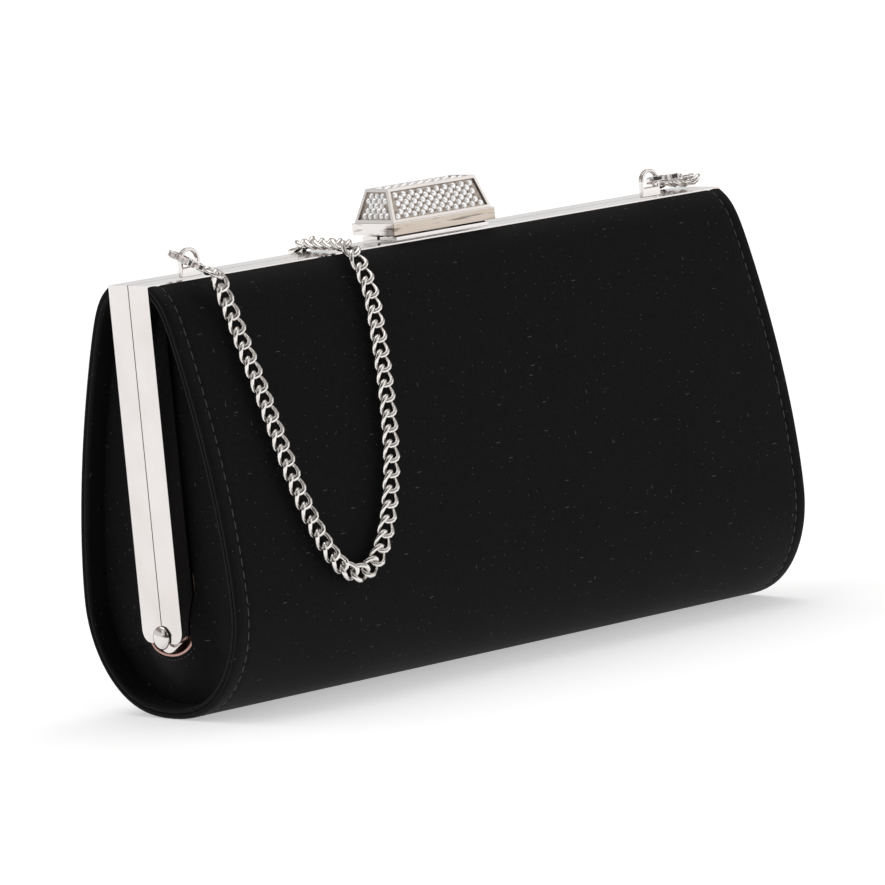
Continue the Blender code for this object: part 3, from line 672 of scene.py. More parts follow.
@dataclass
class Finishes:
    """Every material of the bag."""

    satin: bpy.types.Material = field(default_factory=lambda: Satin().build())
    silver: bpy.types.Material = field(default_factory=lambda: Silver().build())
    clasp: bpy.types.Material = field(default_factory=lambda: SkirtSilver().build())
    links: bpy.types.Material = field(default_factory=lambda: Silver(
        "chain_silver", (0.90, 0.88, 0.86), (0.74, 0.70, 0.66), 0.10, 0.10, 400).build())
    lining: bpy.types.Material = field(default_factory=lambda: Lining().build())
    thread: bpy.types.Material = field(default_factory=lambda: Plain(
        "grey_thread", (0.028, 0.027, 0.028), (0.08, 0.076, 0.08), 0.55, specular=0.3).build())
    # The lining seen through each slot, in a darker brown copy of the lining colour: painted shade of the
    # recess.
    painted_shade_lining: bpy.types.Material = field(default_factory=lambda: Plain(
        "painted_shade_lining", (0.09, 0.036, 0.031), (0.16, 0.072, 0.062), 0.7, specular=0.2).build())
    pink: bpy.types.Material = field(default_factory=lambda: Plain(
        "pink_edge", (0.70, 0.38, 0.33), (0.84, 0.56, 0.50), 0.45, specular=0.4).build())
    # The stones are painted white and made to glow: painted light that stands in for their sparkle.
    stones: bpy.types.Material = field(default_factory=lambda: Plain(
        "clear_stone", (1.0, 1.0, 1.0), (0.55, 0.55, 0.57), 0.03, metallic=0.5, scale=1800,
        painted_glow=0.26).build())
    bed: bpy.types.Material = field(default_factory=lambda: Silver(
        "setting_silver", (0.56, 0.50, 0.45), (0.26, 0.22, 0.19), 0.25, 0.14, 900).build())
    steel: bpy.types.Material = field(default_factory=lambda: Silver(
        "plain_steel", (0.62, 0.62, 0.62), (0.45, 0.44, 0.43), 0.25, 0.15, 300).build())


# Repeated things ----------------------------------------------------------------------------------

WAYS = ("along", "up")


@dataclass
class Spots:
    """Places for small repeated things: where each is, and which ways are along and up."""

    points: list[Vector] = field(default_factory=list)
    along: list[Vector] = field(default_factory=list)
    up: list[Vector] = field(default_factory=list)

    def add(self, point: Vector, along: Vector, up: Vector) -> None:
        """Add one place."""
        self.points.append(point)
        self.along.append(along)
        self.up.append(up)

    def extend(self, more: "Spots") -> None:
        """Add other places."""
        self.points += more.points
        self.along += more.along
        self.up += more.up


class Repeater:
    """A Geometry Nodes tree that puts one small shape at each of many places."""

    def __init__(self, name: str, sizes: dict[str, float], smooth_shading: bool = True,
                 spin: bool = False, seed: int = 7) -> None:
        """Start the tree.

        Args:
            name: Its name.
            sizes: Its named inputs and their values, in metres.
            smooth_shading: Whether the shapes are shaded smoothly.
            spin: Whether each shape has a random turn about its own upright.
            seed: The seed of that turn.
        """
        self.tree = bpy.data.node_groups.new(name, "GeometryNodeTree")
        self.sizes, self.smooth_shading = sizes, smooth_shading
        self.spin, self.seed = spin, seed
        face = self.tree.interface
        face.new_socket("Geometry", in_out="INPUT", socket_type="NodeSocketGeometry")
        face.new_socket("Material", in_out="INPUT", socket_type="NodeSocketMaterial")
        for key in sizes:
            face.new_socket(key, in_out="INPUT", socket_type="NodeSocketFloat")
        face.new_socket("Geometry", in_out="OUTPUT", socket_type="NodeSocketGeometry")
        self.input = self.tree.nodes.new("NodeGroupInput")

    def node(self, kind: str, settings: dict[str, object] | None = None,
             inputs: Inputs | None = None, output: int | str = 0) -> bpy.types.NodeSocket:
        """Add one node and return one of its outputs."""
        return add_node(self.tree, kind, settings, inputs).outputs[output]

    def size(self, key: str) -> bpy.types.NodeSocket:
        """One of the tree's named inputs."""
        return self.input.outputs[key]

    def product(self, a: object, b: object) -> bpy.types.NodeSocket:
        """The product of two numbers."""
        return self.node("ShaderNodeMath", {"operation": "MULTIPLY"}, {0: a, 1: b})

    def vector(self, x: object, y: object, z: object) -> bpy.types.NodeSocket:
        """A vector of three numbers."""
        return self.node("ShaderNodeCombineXYZ", inputs={"X": x, "Y": y, "Z": z})

    def joined(self, *parts: bpy.types.NodeSocket) -> bpy.types.NodeSocket:
        """Several shapes as one."""
        join = self.tree.nodes.new("GeometryNodeJoinGeometry")
        for part in parts:
            self.tree.links.new(part, join.inputs[0])
        return join.outputs[0]

    def ball(self, x: str, y: str, z: object, segments: int, rings: int) -> bpy.types.NodeSocket:
        """A ball stretched to named sizes along X and Y, and to a size along Z."""
        ball = self.node("GeometryNodeMeshUVSphere",
                         inputs={"Segments": segments, "Rings": rings, "Radius": 1.0})
        scale = self.vector(self.size(x), self.size(y), z)
        return self.node("GeometryNodeTransform", inputs={"Geometry": ball, "Scale": scale})

    def rotation(self) -> bpy.types.NodeSocket:
        """How each shape is turned: X along, Z up, and a random spin where it is wanted."""
        along, up = (self.node("GeometryNodeInputNamedAttribute", {"data_type": "FLOAT_VECTOR"},
                               {"Name": key}) for key in WAYS)
        turn = self.node("FunctionNodeAlignRotationToVector", {"axis": "X"}, {"Vector": along})
        turn = self.node("FunctionNodeAlignRotationToVector", {"axis": "Z", "pivot_axis": "X"},
                         {"Rotation": turn, "Vector": up})
        if not self.spin:
            return turn
        angle = self.node("FunctionNodeRandomValue", {"data_type": "FLOAT"},
                          {"Seed": self.seed, 3: math.tau}, 1)
        by = self.node("FunctionNodeAxisAngleToRotation",
                       inputs={"Axis": (0, 0, 1), "Angle": angle})
        return self.node("FunctionNodeRotateRotation", {"rotation_space": "LOCAL"},
                         {"Rotation": turn, "Rotate By": by})

    def place(self, spots: Spots, shape: bpy.types.NodeSocket,
              material: bpy.types.Material) -> bpy.types.Mesh:
        """Finish the tree and run it.

        Args:
            spots: Where the shapes go.
            shape: The shape's socket.
            material: Its material.

        Returns:
            One plain mesh of all the shapes.
        """
        made = self.node("GeometryNodeInstanceOnPoints", inputs={
            "Points": self.size("Geometry"), "Instance": shape, "Rotation": self.rotation()})
        made = self.node("GeometryNodeRealizeInstances", inputs={"Geometry": made})
        if self.smooth_shading:
            made = self.node("GeometryNodeSetShadeSmooth", inputs={"Geometry": made})
        made = self.node("GeometryNodeSetMaterial",
                         inputs={"Geometry": made, "Material": self.size("Material")})
        self.tree.links.new(made, self.tree.nodes.new("NodeGroupOutput").inputs[0])

        cloud = bpy.data.meshes.new("places")
        cloud.from_pydata([tuple(p) for p in spots.points], [], [])
        for key, values in zip(WAYS, (spots.along, spots.up)):
            layer = cloud.attributes.new(key, "FLOAT_VECTOR", "POINT")
            layer.data.foreach_set("vector", [c for v in values for c in v])
        obj = new_object("places", cloud)
        modifier = obj.modifiers.new("repeat", "NODES")
        modifier.node_group = self.tree
        values = {**self.sizes, "Material": material}
        for item in self.tree.interface.items_tree:
            if item.in_out == "INPUT" and item.name in values:
                modifier[item.identifier] = values[item.name]
        result = applied(obj)
        for layer in [a for a in result.attributes if a.name in WAYS]:
            result.attributes.remove(layer)
        return result


# The shell ----------------------------------------------------------------------------------------

@dataclass(frozen=True)
class Section:
    """The outline of the shell across its length."""

    belly_radius: float = 29.3 * MM
    base_half: float = 9.0 * MM
    pivot_z: float = PIVOT_Z
    top: float = 105.5 * MM
    top_half: float = 7.8 * MM
    taper: float = 17.6 * MM
    taper_power: float = 1.7
    shoulder: float = 3.9 * MM
    shoulder_power: float = 27
    cut_angle: float = math.radians(13)
    rounding: float = 9.0 * MM
    soft_band: Pair = (12 * MM, 24 * MM)
    grain: float = 0.4 * MM
    side_points: int = 160
    under_points: int = 400

    @property
    def belly_z(self) -> float:
        """The height of the belly's widest line."""
        return math.sqrt(self.belly_radius ** 2 - self.base_half ** 2)

    def half_width(self, z: float) -> float:
        """Half the shell's depth at a height."""
        if z <= self.belly_z:
            return math.sqrt(max(0.0, self.belly_radius ** 2 - (self.belly_z - z) ** 2))
        t = min(1.0, (z - self.belly_z) / (self.top - self.belly_z))
        return (self.belly_radius - self.taper * t ** self.taper_power
                - self.shoulder * t ** self.shoulder_power)

    def reach(self, angle: float, depth: float = 0) -> float:
        """The distance from the pivot's line to the belly or the base, at an angle downwards."""
        rise = self.belly_z - self.pivot_z
        radius = self.belly_radius - depth
        down = math.sin(angle)
        reach = -rise * down + math.sqrt(radius ** 2 - (rise * math.cos(angle)) ** 2)
        return min(reach, (self.pivot_z - depth) / down) if down > 0.5 else reach

    def outline(self) -> list[Vector]:
        """The outer face from the back's top, under the base, to the front's top, as (0, y, z)."""
        lean = math.atan2(self.belly_z - self.pivot_z, self.belly_radius)
        heights = [self.belly_z + (self.top - self.belly_z) * k ** 0.8
                   for k in steps(0, 1, self.side_points)]
        side = [(self.half_width(z), z) for z in heights]
        round_under = [(-self.reach(a) * math.cos(a), self.pivot_z - self.reach(a) * math.sin(a))
                       for a in steps(math.pi + lean, -lean, self.under_points)]
        places = [*reversed(side), *round_under[1:-1], *((-y, z) for y, z in side)]
        even = resampled([Vector((0, y, z)) for y, z in places], self.grain)
        reach = round(self.rounding / self.grain)
        made = []
        for k, p in enumerate(even):
            share = 1 - smooth(*self.soft_band, abs(p.y)) if p.z < self.belly_z else 0.0
            near = even[max(0, k - reach):k + reach + 1]
            level = sum(q.z for q in near) / len(near)
            made.append(Vector((0, p.y, p.z + share * (level - p.z))))
        lowest = min(p.z for p in made)
        return [p - Vector((0, 0, lowest * (1 - smooth(0, self.belly_z, p.z)))) for p in made]


@dataclass(frozen=True)
class Station:
    """A place on the outline: a point of the outer face, its way out, and its run on the cloth."""

    point: Vector
    out: Vector
    run: float

    def inside(self, depth: float, x: float, top_half: float) -> Vector:
        """The point at a depth below the outer face, kept clear of the rail."""
        p = self.point - self.out * depth
        clear = abs(p.y) > top_half or p.z < RAIL_ZONE
        return Vector((x, p.y if clear else math.copysign(top_half, self.point.y), p.z))


@dataclass
class Shell:
    """The cloth shell: its front, its back with the base, their stitching and their lining."""

    finishes: Finishes
    section: Section = field(default_factory=Section)
    half_length: float = HALF_LENGTH
    thick: float = 2.7 * MM
    seam: float = 3.5 * MM
    seam_deep: float = 0.24 * MM
    stitch: float = 3.0 * MM
    stitch_sink: float = 0.42
    spacing: float = 0.75 * MM
    lining_depth: Pair = (3.0 * MM, 3.6 * MM)
    lining_half: float = 88.2 * MM
    # The turned end, as (distance in from the end, depth) in millimetres: on the inner face, about
    # the parting in the middle of the edge, and on the outer face.
    inner_turn: tuple[Pair, ...] = ((9, 0), (5.2, 0), (0.9, 0), (0.3, -0.1), (0, -0.5))
    parting: tuple[Pair, ...] = ((0, 0.35), (0.1, 0.12), (0.55, 0), (0.1, -0.12), (0, -0.35))
    outer_turn: tuple[Pair, ...] = (
        (0, 0.55), (0.1, 0.3), (0.3, 0.1), (0.7, 0), (1.3, -0.05), (2.1, -0.05))
    # The groove that the stitches pull: distance in from the seam, and share of the pull.
    groove: tuple[Pair, ...] = (
        (-0.7, 0.1), (-0.3, 0.7), (0, 1), (0.3, 0.7), (0.8, 0.15), (2, 0))
    panel_half: float = 81 * MM

    def stations(self) -> tuple[list[Station], list[Station]]:
        """Stations of the back with the base, and of the front, which meet at the same place."""
        line = self.section.outline()
        s = self.section
        cut = next(k for k, p in enumerate(line) if p.y < -s.belly_radius / 2
                   and math.atan2(s.pivot_z - p.z, -p.y) < s.cut_angle)
        made, run = [], 0.0
        for part in (line[:cut + 1], line[cut:]):
            points = resampled(part, self.spacing)
            ahead = tangents(points)
            if made:
                last = made[0][-1].out
                ahead[0] = Vector((0, last.z, -last.y))
            stations = []
            for k, (p, t) in enumerate(zip(points, ahead)):
                run += (p - points[k - 1]).length if k else 0.0
                stations.append(Station(p, Vector((0, -t.z, t.y)), run))
            made.append(stations)
        return made[0], made[1]

    def loop(self) -> list[Triple]:
        """The wall's outline along the length: (x, depth, share of the seam's pull) round it."""
        h = self.half_length
        turns = ((self.thick, self.inner_turn), (self.thick / 2, self.parting),
                 (0.0, self.outer_turn))
        right = [(h - x * MM, base + depth * MM, 0.0) for base, turn in turns for x, depth in turn]
        right += [(h - self.seam - x * MM, 0.0, pull) for x, pull in self.groove]
        middle = [(x, 0.0, 0.0) for x in steps(self.panel_half, -self.panel_half, 20)]
        return right + middle + [(-x, depth, pull) for x, depth, pull in reversed(right)]

    def wall(self, stations: Sequence[Station]) -> bpy.types.Mesh:
        """The closed wall over some stations."""
        loop, top_half = self.loop(), self.section.top_half
        rings, uvs = [], []
        for station in stations:
            wave = 0.8 + 0.2 * math.cos(math.tau * station.run / self.stitch)
            rings.append([station.inside(depth + share * self.seam_deep * wave, x, top_half)
                          for x, depth, share in loop])
            uvs += [(x + UV_START[0], station.run + UV_START[1] + depth) for x, depth, _ in loop]
        return mesh_from(*loft(rings), uvs=uvs)

    def stitches(self, stations: Sequence[Station]) -> bpy.types.Mesh:
        """A row of stitches near each end."""
        made = Repeater("stitches", {"Half length": 1.25 * MM, "Radius": 0.2 * MM})
        flat = made.product(made.size("Radius"), 0.8)
        shape = made.ball("Half length", "Radius", flat, segments=8, rings=6)
        spots, wanted = Spots(), stations[0].run + self.stitch / 2
        for a, b in zip(stations, stations[1:]):
            if a.run <= wanted < b.run:
                ahead = (b.point - a.point).normalized()
                for end in ENDS.values():
                    at = a.inside(self.seam_deep * self.stitch_sink,
                                  end * (self.half_length - self.seam), self.section.top_half)
                    spots.add(at + ahead * (wanted - a.run), ahead, a.out)
                wanted += self.stitch
        return made.place(spots, shape, self.finishes.thread)

    def inner_cloth(self, stations: Sequence[Station]) -> bpy.types.Mesh:
        """The lining over some stations."""
        (near, far), h = self.lining_depth, self.lining_half
        across = steps(-h, h, 24)
        loop = [(x, near) for x in across] + [(x, far) for x in reversed(across)]
        return mesh_from(*loft([[s.inside(depth, x, self.section.top_half) for x, depth in loop]
                                for s in stations[::2]]))

    def build(self) -> None:
        """Make every piece of the shell."""
        f = self.finishes
        back, front = self.stations()
        halves = (("back", BASE_BEND, back), ("front", Body.FRONT, front))
        for name, place, stations in halves:
            add_piece(f"shell_{name}", self.wall(stations), f.satin, place,
                      [f"{name}_cover", f"{name}_board"])
        for name, place, stations in halves:
            add_piece(f"stitches_{name}", self.stitches(stations), None, place)
        for name, place, stations in halves:
            add_piece(f"lining_{name}", self.inner_cloth(stations), f.lining, place,
                      [f"{name}_lining"])


@dataclass
class Gussets:
    """The recessed end walls, the slot round each pivot, and the pleat between the arms."""

    finishes: Finishes
    section: Section = field(default_factory=Section)
    half_length: float = HALF_LENGTH
    deep: float = 5.5 * MM
    shallow: float = 1.7 * MM
    near: float = 5.0 * MM
    far: float = 16.0 * MM
    thick: float = 0.4 * MM
    wall_depth: float = 2.8 * MM
    slot_half: float = 8.1 * MM
    slot_drop: float = 4.7 * MM
    arm_edge: float = 7.75 * MM
    narrowing: float = 25
    tuck: float = 2.6 * MM
    # Where up the wall, from 0 to 1, the tuck behind the arm, the dish and the creases set in.
    tuck_band: Pair = (0.16, 0.3)
    dish_band: Pair = (0.05, 0.3)
    crease_band: Pair = (0.1, 0.4)
    pleat_half: float = 5.5 * MM
    pleat_deep: float = 6.3 * MM
    pleat_rise: float = 5 * MM
    pleat_fold: float = 20 * MM
    top: float = 101.0 * MM
    dish: float = 1.1 * MM
    crease: float = 0.22 * MM
    lower_depth: float = 0.55 * MM
    lower_wave: float = 0.25 * MM
    pocket_depth: Pair = (1.3 * MM, 2.6 * MM)
    edge_wire: float = 0.3 * MM
    rows: int = 70
    columns: int = 14

    def depth_at(self, y: float, z: float) -> float:
        """How far in from the end the cloth lies: shallow by the pivot, the same all round it."""
        away = math.hypot(y, z - self.section.pivot_z)
        return self.shallow + (self.deep - self.shallow) * smooth(self.near, self.far, away)

    def sheet(self, rows: Sequence[Sequence[Triple]], end: int) -> bpy.types.Mesh:
        """A thin closed sheet over rows of (y, z, extra depth)."""
        def face(row: Sequence[Triple], back: float) -> list[Vector]:
            """A row's points on the sheet's outer or inner face."""
            return [Vector((end * (self.half_length - self.depth_at(y, z) - extra - back), y, z))
                    for y, z, extra in row]

        rings = [face(row, 0) + face(row, self.thick)[::-1] for row in rows]
        uvs = [(y + UV_START[0], z + UV_START[1])
               for row in rows for y, z, _ in (*row, *reversed(row))]
        return mesh_from(*loft(rings), uvs=uvs)

    def upper(self, sign: int, end: int) -> bpy.types.Mesh:
        """The wall beside one arm, from below the pivot's level to the rail.

        Args:
            sign: -1 for the front half and 1 for the back half.
            end: -1 for the left end and 1 for the right end.

        Returns:
            The wall's mesh.
        """
        s = self.section
        cos, sin = math.cos(s.cut_angle), math.sin(s.cut_angle)
        y_low, z_low = self.slot_half * cos, s.pivot_z - self.slot_half * sin
        z_low_out = s.pivot_z - s.reach(s.cut_angle, self.wall_depth) * sin
        rows = []
        for k in steps(0, 1, self.rows):
            y_in = max(self.arm_edge, y_low - (y_low - self.arm_edge) * self.narrowing * k)
            y_in -= self.tuck * smooth(*self.tuck_band, k)
            z_in, z_out = z_low + (self.top - z_low) * k, z_low_out + (self.top - z_low_out) * k
            lean = (s.half_width(z_out + 0.5 * MM) - s.half_width(z_out - 0.5 * MM)) / MM
            y_out = s.half_width(z_out) - self.wall_depth * math.hypot(1, lean)
            y_out = max(y_in + 0.15 * MM, y_out)
            row = []
            for v in steps(0, 1, self.columns):
                dish = self.dish * math.sin(math.pi * v) ** 1.5 * smooth(*self.dish_band, k)
                crease = self.crease * math.sin(v * 9 + k * 3) * smooth(*self.crease_band, k)
                row.append((sign * (y_in + (y_out - y_in) * v), z_in + (z_out - z_in) * v,
                            dish + crease))
            rows.append(row)
        return self.sheet(rows, end)

    def slot_reach(self, angle: float) -> float:
        """The distance from the pivot to the slot's edge."""
        return 1 / math.hypot(math.cos(angle) / self.slot_half, math.sin(angle) / self.slot_drop)

    def below_pivot(self, angle: float, reach: float) -> Pair:
        """The (y, z) at a distance from the pivot, at an angle down from the front's level."""
        return -reach * math.cos(angle), self.section.pivot_z - reach * math.sin(angle)

    def lower(self, end: int) -> bpy.types.Mesh:
        """The wall round and under the pivot."""
        rows = []
        for angle in steps(-0.16, math.pi + 0.16, 72):
            near, far = self.slot_reach(angle), self.section.reach(angle, self.wall_depth)
            wave = self.lower_wave * math.sin(3 * angle + 1)
            rows.append([(*self.below_pivot(angle, near + (far - near) * v),
                          self.lower_depth + wave * math.sin(math.pi * v))
                         for v in steps(0, 1, 16)])
        return self.sheet(rows, end)

    def slot_line(self, end: int, out: float, in_by: float) -> list[Vector]:
        """The line of the slot's edge, moved out from the wall and in towards the pivot."""
        line = []
        for angle in steps(0.06, math.pi - 0.06, 48):
            y, z = self.below_pivot(angle, self.slot_reach(angle) - in_by)
            depth = self.depth_at(y, z) + 0.5 * MM - out
            line.append(Vector((end * (self.half_length - depth), y, z)))
        return line

    def slot_stitches(self, end: int) -> bpy.types.Mesh:
        """Tiny stitches just outside the slot's edge."""
        made = Repeater("slot_stitches", {"Half length": 0.42 * MM, "Radius": 0.12 * MM})
        shape = made.ball("Half length", "Radius", made.size("Radius"), segments=6, rings=5)
        line = resampled(self.slot_line(end, 0.08 * MM, -1.1 * MM), 1.3 * MM)
        spots = Spots()
        for point, ahead in zip(line, tangents(line)):
            spots.add(point, ahead, Vector((end, 0, 0)))
        return made.place(spots, shape, self.finishes.thread)

    def pocket(self, end: int) -> bpy.types.Mesh:
        """The lining that is seen through the slot, deepest at the pivot."""
        rim, hollow = self.pocket_depth
        backs = [hollow * (1 - k ** 3) + rim for k in steps(0, 1, 8)]
        rings = []
        for angle in steps(-0.1, math.pi + 0.1, 40):
            reach = self.slot_reach(angle) + 0.5 * MM
            row = [self.below_pivot(angle, reach * v) for v in steps(0.12, 1, 8)]
            near, far = ([Vector((end * (self.half_length - self.shallow - back - thick), y, z))
                          for (y, z), back in zip(row, backs)] for thick in (0.0, self.thick))
            rings.append(near + far[::-1])
        return mesh_from(*loft(rings))

    def pleat(self, end: int, under: float) -> bpy.types.Mesh:
        """One layer of the folded cloth between the two arms, which opens with them."""
        low, rings = self.section.pivot_z + self.pleat_rise, []
        for k in steps(0, 1, 40):
            z, fold = low + (self.top - low) * k, self.pleat_fold * k + 0.4 * MM
            line = [(y, self.pleat_deep + under
                     + fold * max(0.0, 1 - abs(y) / self.pleat_half) ** 1.1)
                    for y in steps(-self.pleat_half, self.pleat_half, 24)]
            outer, inner = ([Vector((end * (self.half_length - depth - thick), y, z))
                             for y, depth in line] for thick in (0.0, self.thick))
            rings.append(outer + inner[::-1])
        return mesh_from(*loft(rings))

    def build(self) -> None:
        """Make every piece of both ends."""
        f = self.finishes
        for side, end in ENDS.items():
            for name, sign, body in (("front", -1, Body.FRONT), ("back", 1, Body.BACK)):
                add_piece(f"gusset_{name}_{side}", self.upper(sign, end), f.satin, body,
                          [f"{name}_gusset_{side}"])
            add_piece(f"gusset_lower_{side}", self.lower(end), f.satin, BASE_BEND,
                      [f"lower_gusset_{side}"])
            edge = tube(self.slot_line(end, 0.15 * MM, 0.1 * MM), self.edge_wire)
            add_piece(f"slot_edge_{side}", edge, f.pink, BASE_BEND)
            add_piece(f"slot_stitches_{side}", self.slot_stitches(end), None, BASE_BEND)
            # The lining in the slot takes the darker copy of the lining colour: painted shade.
            add_piece(f"slot_lining_{side}", self.pocket(end), f.painted_shade_lining, BASE_BEND)
            add_piece(f"pleat_{side}", self.pleat(end, 0.0), f.satin, PLEAT_BEND)
            add_piece(f"pleat_lining_{side}", self.pleat(end, 0.5 * MM), f.lining, PLEAT_BEND)


# The frame ----------------------------------------------------------------------------------------

@dataclass
class MetalFrame:
    """The two polished frame halves and the domed rivets that join them."""

    finishes: Finishes
    half_length: float = HALF_LENGTH
    pivot_z: float = PIVOT_Z
    rounding: float = 0.24 * MM
    head: float = 2.9 * MM
    rise: float = 1.3 * MM
    gap: float = 0.3 * MM
    # The rivet's foot and shank, as (height, radius) in millimetres from the underside of its head.
    shank: tuple[Pair, ...] = (
        (-4.9, 0.05), (-4.9, 2.0), (-4.7, 2.2), (-4.2, 2.2), (-4.2, 1.2), (-0.02, 1.2),
        (-0.02, 2.8))

    def rivet(self, end: int) -> bpy.types.Mesh:
        """One rivet with its domed head outwards."""
        place = (Matrix.Translation((end * (self.half_length + self.gap), 0, self.pivot_z))
                 @ Matrix.Rotation(end * math.pi / 2, 4, "Y"))
        dome = [(self.rise * math.sin(a), self.head * math.cos(a))
                for a in steps(0.0, math.pi / 2 - 0.02, 12)]
        return turned([(h * MM, r * MM) for h, r in self.shank] + dome, place, 48)

    def build(self) -> None:
        """Make the frame's pieces."""
        silver = self.finishes.silver
        for name, body in (("front", Body.FRONT), ("back", Body.BACK)):
            add_piece(f"frame_{name}", refined(f"{name}_frame", self.rounding), silver, body,
                      [f"{name}_frame"])
        for side, end in ENDS.items():
            add_piece(f"rivet_{side}", self.rivet(end), silver, Body.BACK,
                      [f"pivot_rivet_{side}"])


# The clasp ----------------------------------------------------------------------------------------

@dataclass(frozen=True)
class StoneField:
    """One face of the clasp: its corners, from below, and its rows of stones."""

    side: str
    corners: tuple[Triple, ...]
    rows: int
    pitch: float


@dataclass
class Clasp:
    """The stone-set pyramid clasp, its base plate, hinge and latch."""

    finishes: Finishes
    middle: float = 0.75 * MM
    half: Pair = (16.75 * MM, 7.9 * MM)
    step: float = 0.5 * MM
    top_half: Pair = (14.5 * MM, 4.15 * MM)
    skirt_top: float = 110.7 * MM
    top: float = 119.0 * MM
    rim: float = 1.1 * MM
    bed: float = 0.5 * MM
    bed_thick: float = 0.16 * MM
    bed_overlap: float = 0.25 * MM
    stone: float = 0.76 * MM
    stone_rise: float = 0.5 * MM
    bead: float = 0.2 * MM
    bead_rise: float = 0.12 * MM
    pitches: Pair = (2.75 * MM, 2.07 * MM)
    margin: float = 0.85
    most_each_way: int = 12
    # A stone's collar, crown and table: wide and narrow ends and height, as shares of its own.
    cuts: tuple[Triple, ...] = ((1.0, 1.0, 0.30), (1.0, 0.84, 0.26), (0.84, 0.5, 0.44))

    def fields(self) -> list[StoneField]:
        """The four sloped faces and the top, each with its corners anticlockwise from outside."""
        a, b = self.half[0] - self.step, self.half[1] - self.step
        c, d = self.top_half
        low = [(-a, -b), (a, -b), (a, b), (-a, b)]
        high = [(-c, -d), (c, -d), (c, d), (-c, d)]
        long, short = self.pitches
        made = []
        for side, k, rows, pitch in (("front", 0, 6, long), ("back", 2, 6, long),
                                     ("left", 3, 5, short), ("right", 1, 5, short)):
            n = (k + 1) % 4
            made.append(StoneField(side, (
                (*low[k], self.skirt_top), (*low[n], self.skirt_top),
                (*high[n], self.top), (*high[k], self.top)), rows, pitch))
        return made + [StoneField("top", tuple((*xy, self.top) for xy in high), 5, long)]

    def inset(self, where: StoneField, rim: float) -> tuple[list[Vector], Vector]:
        """A face's corners drawn in by a rim, and its outward direction."""
        points = [Vector(p) + Vector((self.middle, 0, 0)) for p in where.corners]
        normal = (points[1] - points[0]).cross(points[3] - points[0]).normalized()
        drawn = []
        for k, point in enumerate(points):
            ahead = (points[(k + 1) % 4] - point).normalized()
            behind = (points[k - 1] - point).normalized()
            drawn.append(point + (ahead + behind) * rim / ahead.cross(behind).length)
        return drawn, normal

    def plate(self, where: StoneField) -> bpy.types.Mesh:
        """The metal bed that a face's stones are set in."""
        corners, normal = self.inset(where, self.rim - self.bed_overlap)
        rings = [[p - normal * down for p in corners]
                 for down in (self.bed + self.bed_thick, self.bed)]
        return mesh_from(*loft(rings), smoothness=Smoothness.FLAT)

    def lattice(self, where: StoneField) -> tuple[Spots, Spots]:
        """Where a face's stones and the beads between them go."""
        (low_a, low_b, high_b, high_a), normal = self.inset(where, self.rim + 0.05 * MM)
        stones, beads = Spots(), Spots()
        for r in range(where.rows):
            f = (r + 0.5) / where.rows
            start, end = low_a.lerp(high_a, f), low_b.lerp(high_b, f)
            centre, ahead = (start + end) / 2, (end - start).normalized()
            room = (end - start).length / 2 - self.stone * self.margin
            shift = 0.5 if r % 2 else 0.0
            for k in range(-self.most_each_way, self.most_each_way + 1):
                for place, spots, rise in ((k + shift, stones, 0.0),
                                           (k + shift + 0.5, beads, self.bead_rise)):
                    along = place * where.pitch
                    if abs(along) < room:
                        at = centre + ahead * along - normal * (self.bed - rise)
                        spots.add(at, ahead, normal)
        return stones, beads

    def cut_stones(self, spots: Spots) -> bpy.types.Mesh:
        """Faceted stones: a collar, a crown and a flat table each."""
        made = Repeater("cut_stones", {"Radius": self.stone, "Rise": self.stone_rise},
                        smooth_shading=False, spin=True)
        radius, rise = made.size("Radius"), made.size("Rise")
        parts, base = [], 0.0
        for wide, narrow, share in self.cuts:
            cone = made.node("GeometryNodeMeshCone", {"fill_type": "NGON"}, {
                "Vertices": 8, "Radius Bottom": made.product(radius, wide),
                "Radius Top": made.product(radius, narrow), "Depth": made.product(rise, share)})
            lift = made.vector(0.0, 0.0, made.product(rise, base))
            parts.append(made.node("GeometryNodeTransform",
                                   inputs={"Geometry": cone, "Translation": lift}))
            base += share
        return made.place(spots, made.joined(*parts), self.finishes.stones)

    def beads(self, spots: Spots) -> bpy.types.Mesh:
        """The little metal beads that hold the stones."""
        made = Repeater("setting_beads", {"Radius": self.bead})
        shape = made.node("GeometryNodeMeshIcoSphere",
                          inputs={"Radius": made.size("Radius"), "Subdivisions": 2})
        return made.place(spots, shape, self.finishes.bed)

    def build(self) -> None:
        """Make the clasp's pieces."""
        f = self.finishes
        add_piece("clasp_pyramid", refined("clasp_cap", 0.2 * MM, 3), f.clasp, Body.CLASP,
                  ["clasp_cap"])
        stones, beads = Spots(), Spots()
        for where in self.fields():
            add_piece(f"stone_bed_{where.side}", self.plate(where), f.bed, Body.CLASP,
                      [f"stone_panel_{where.side}"])
            for spots, more in zip((stones, beads), self.lattice(where)):
                spots.extend(more)
        add_piece("pave_stones", self.cut_stones(stones), None, Body.CLASP)
        add_piece("setting_beads", self.beads(beads), None, Body.CLASP)
        for name, node, body in (("hinge_plate", "clasp_base", Body.BACK),
                                 ("front_plate", "striker_plate", Body.FRONT)):
            add_piece(name, refined(node, 0.15 * MM), f.silver, body, [node])
        for node, body in (("latch_nose", Body.CLASP), ("clasp_pin", Body.BACK),
                           ("clasp_spring", Body.BACK)):
            add_piece(f"{node}_steel", refined(node, 0.06 * MM, 1), f.steel, body,
                      [node])


# The chain and what holds it ----------------------------------------------------------------------

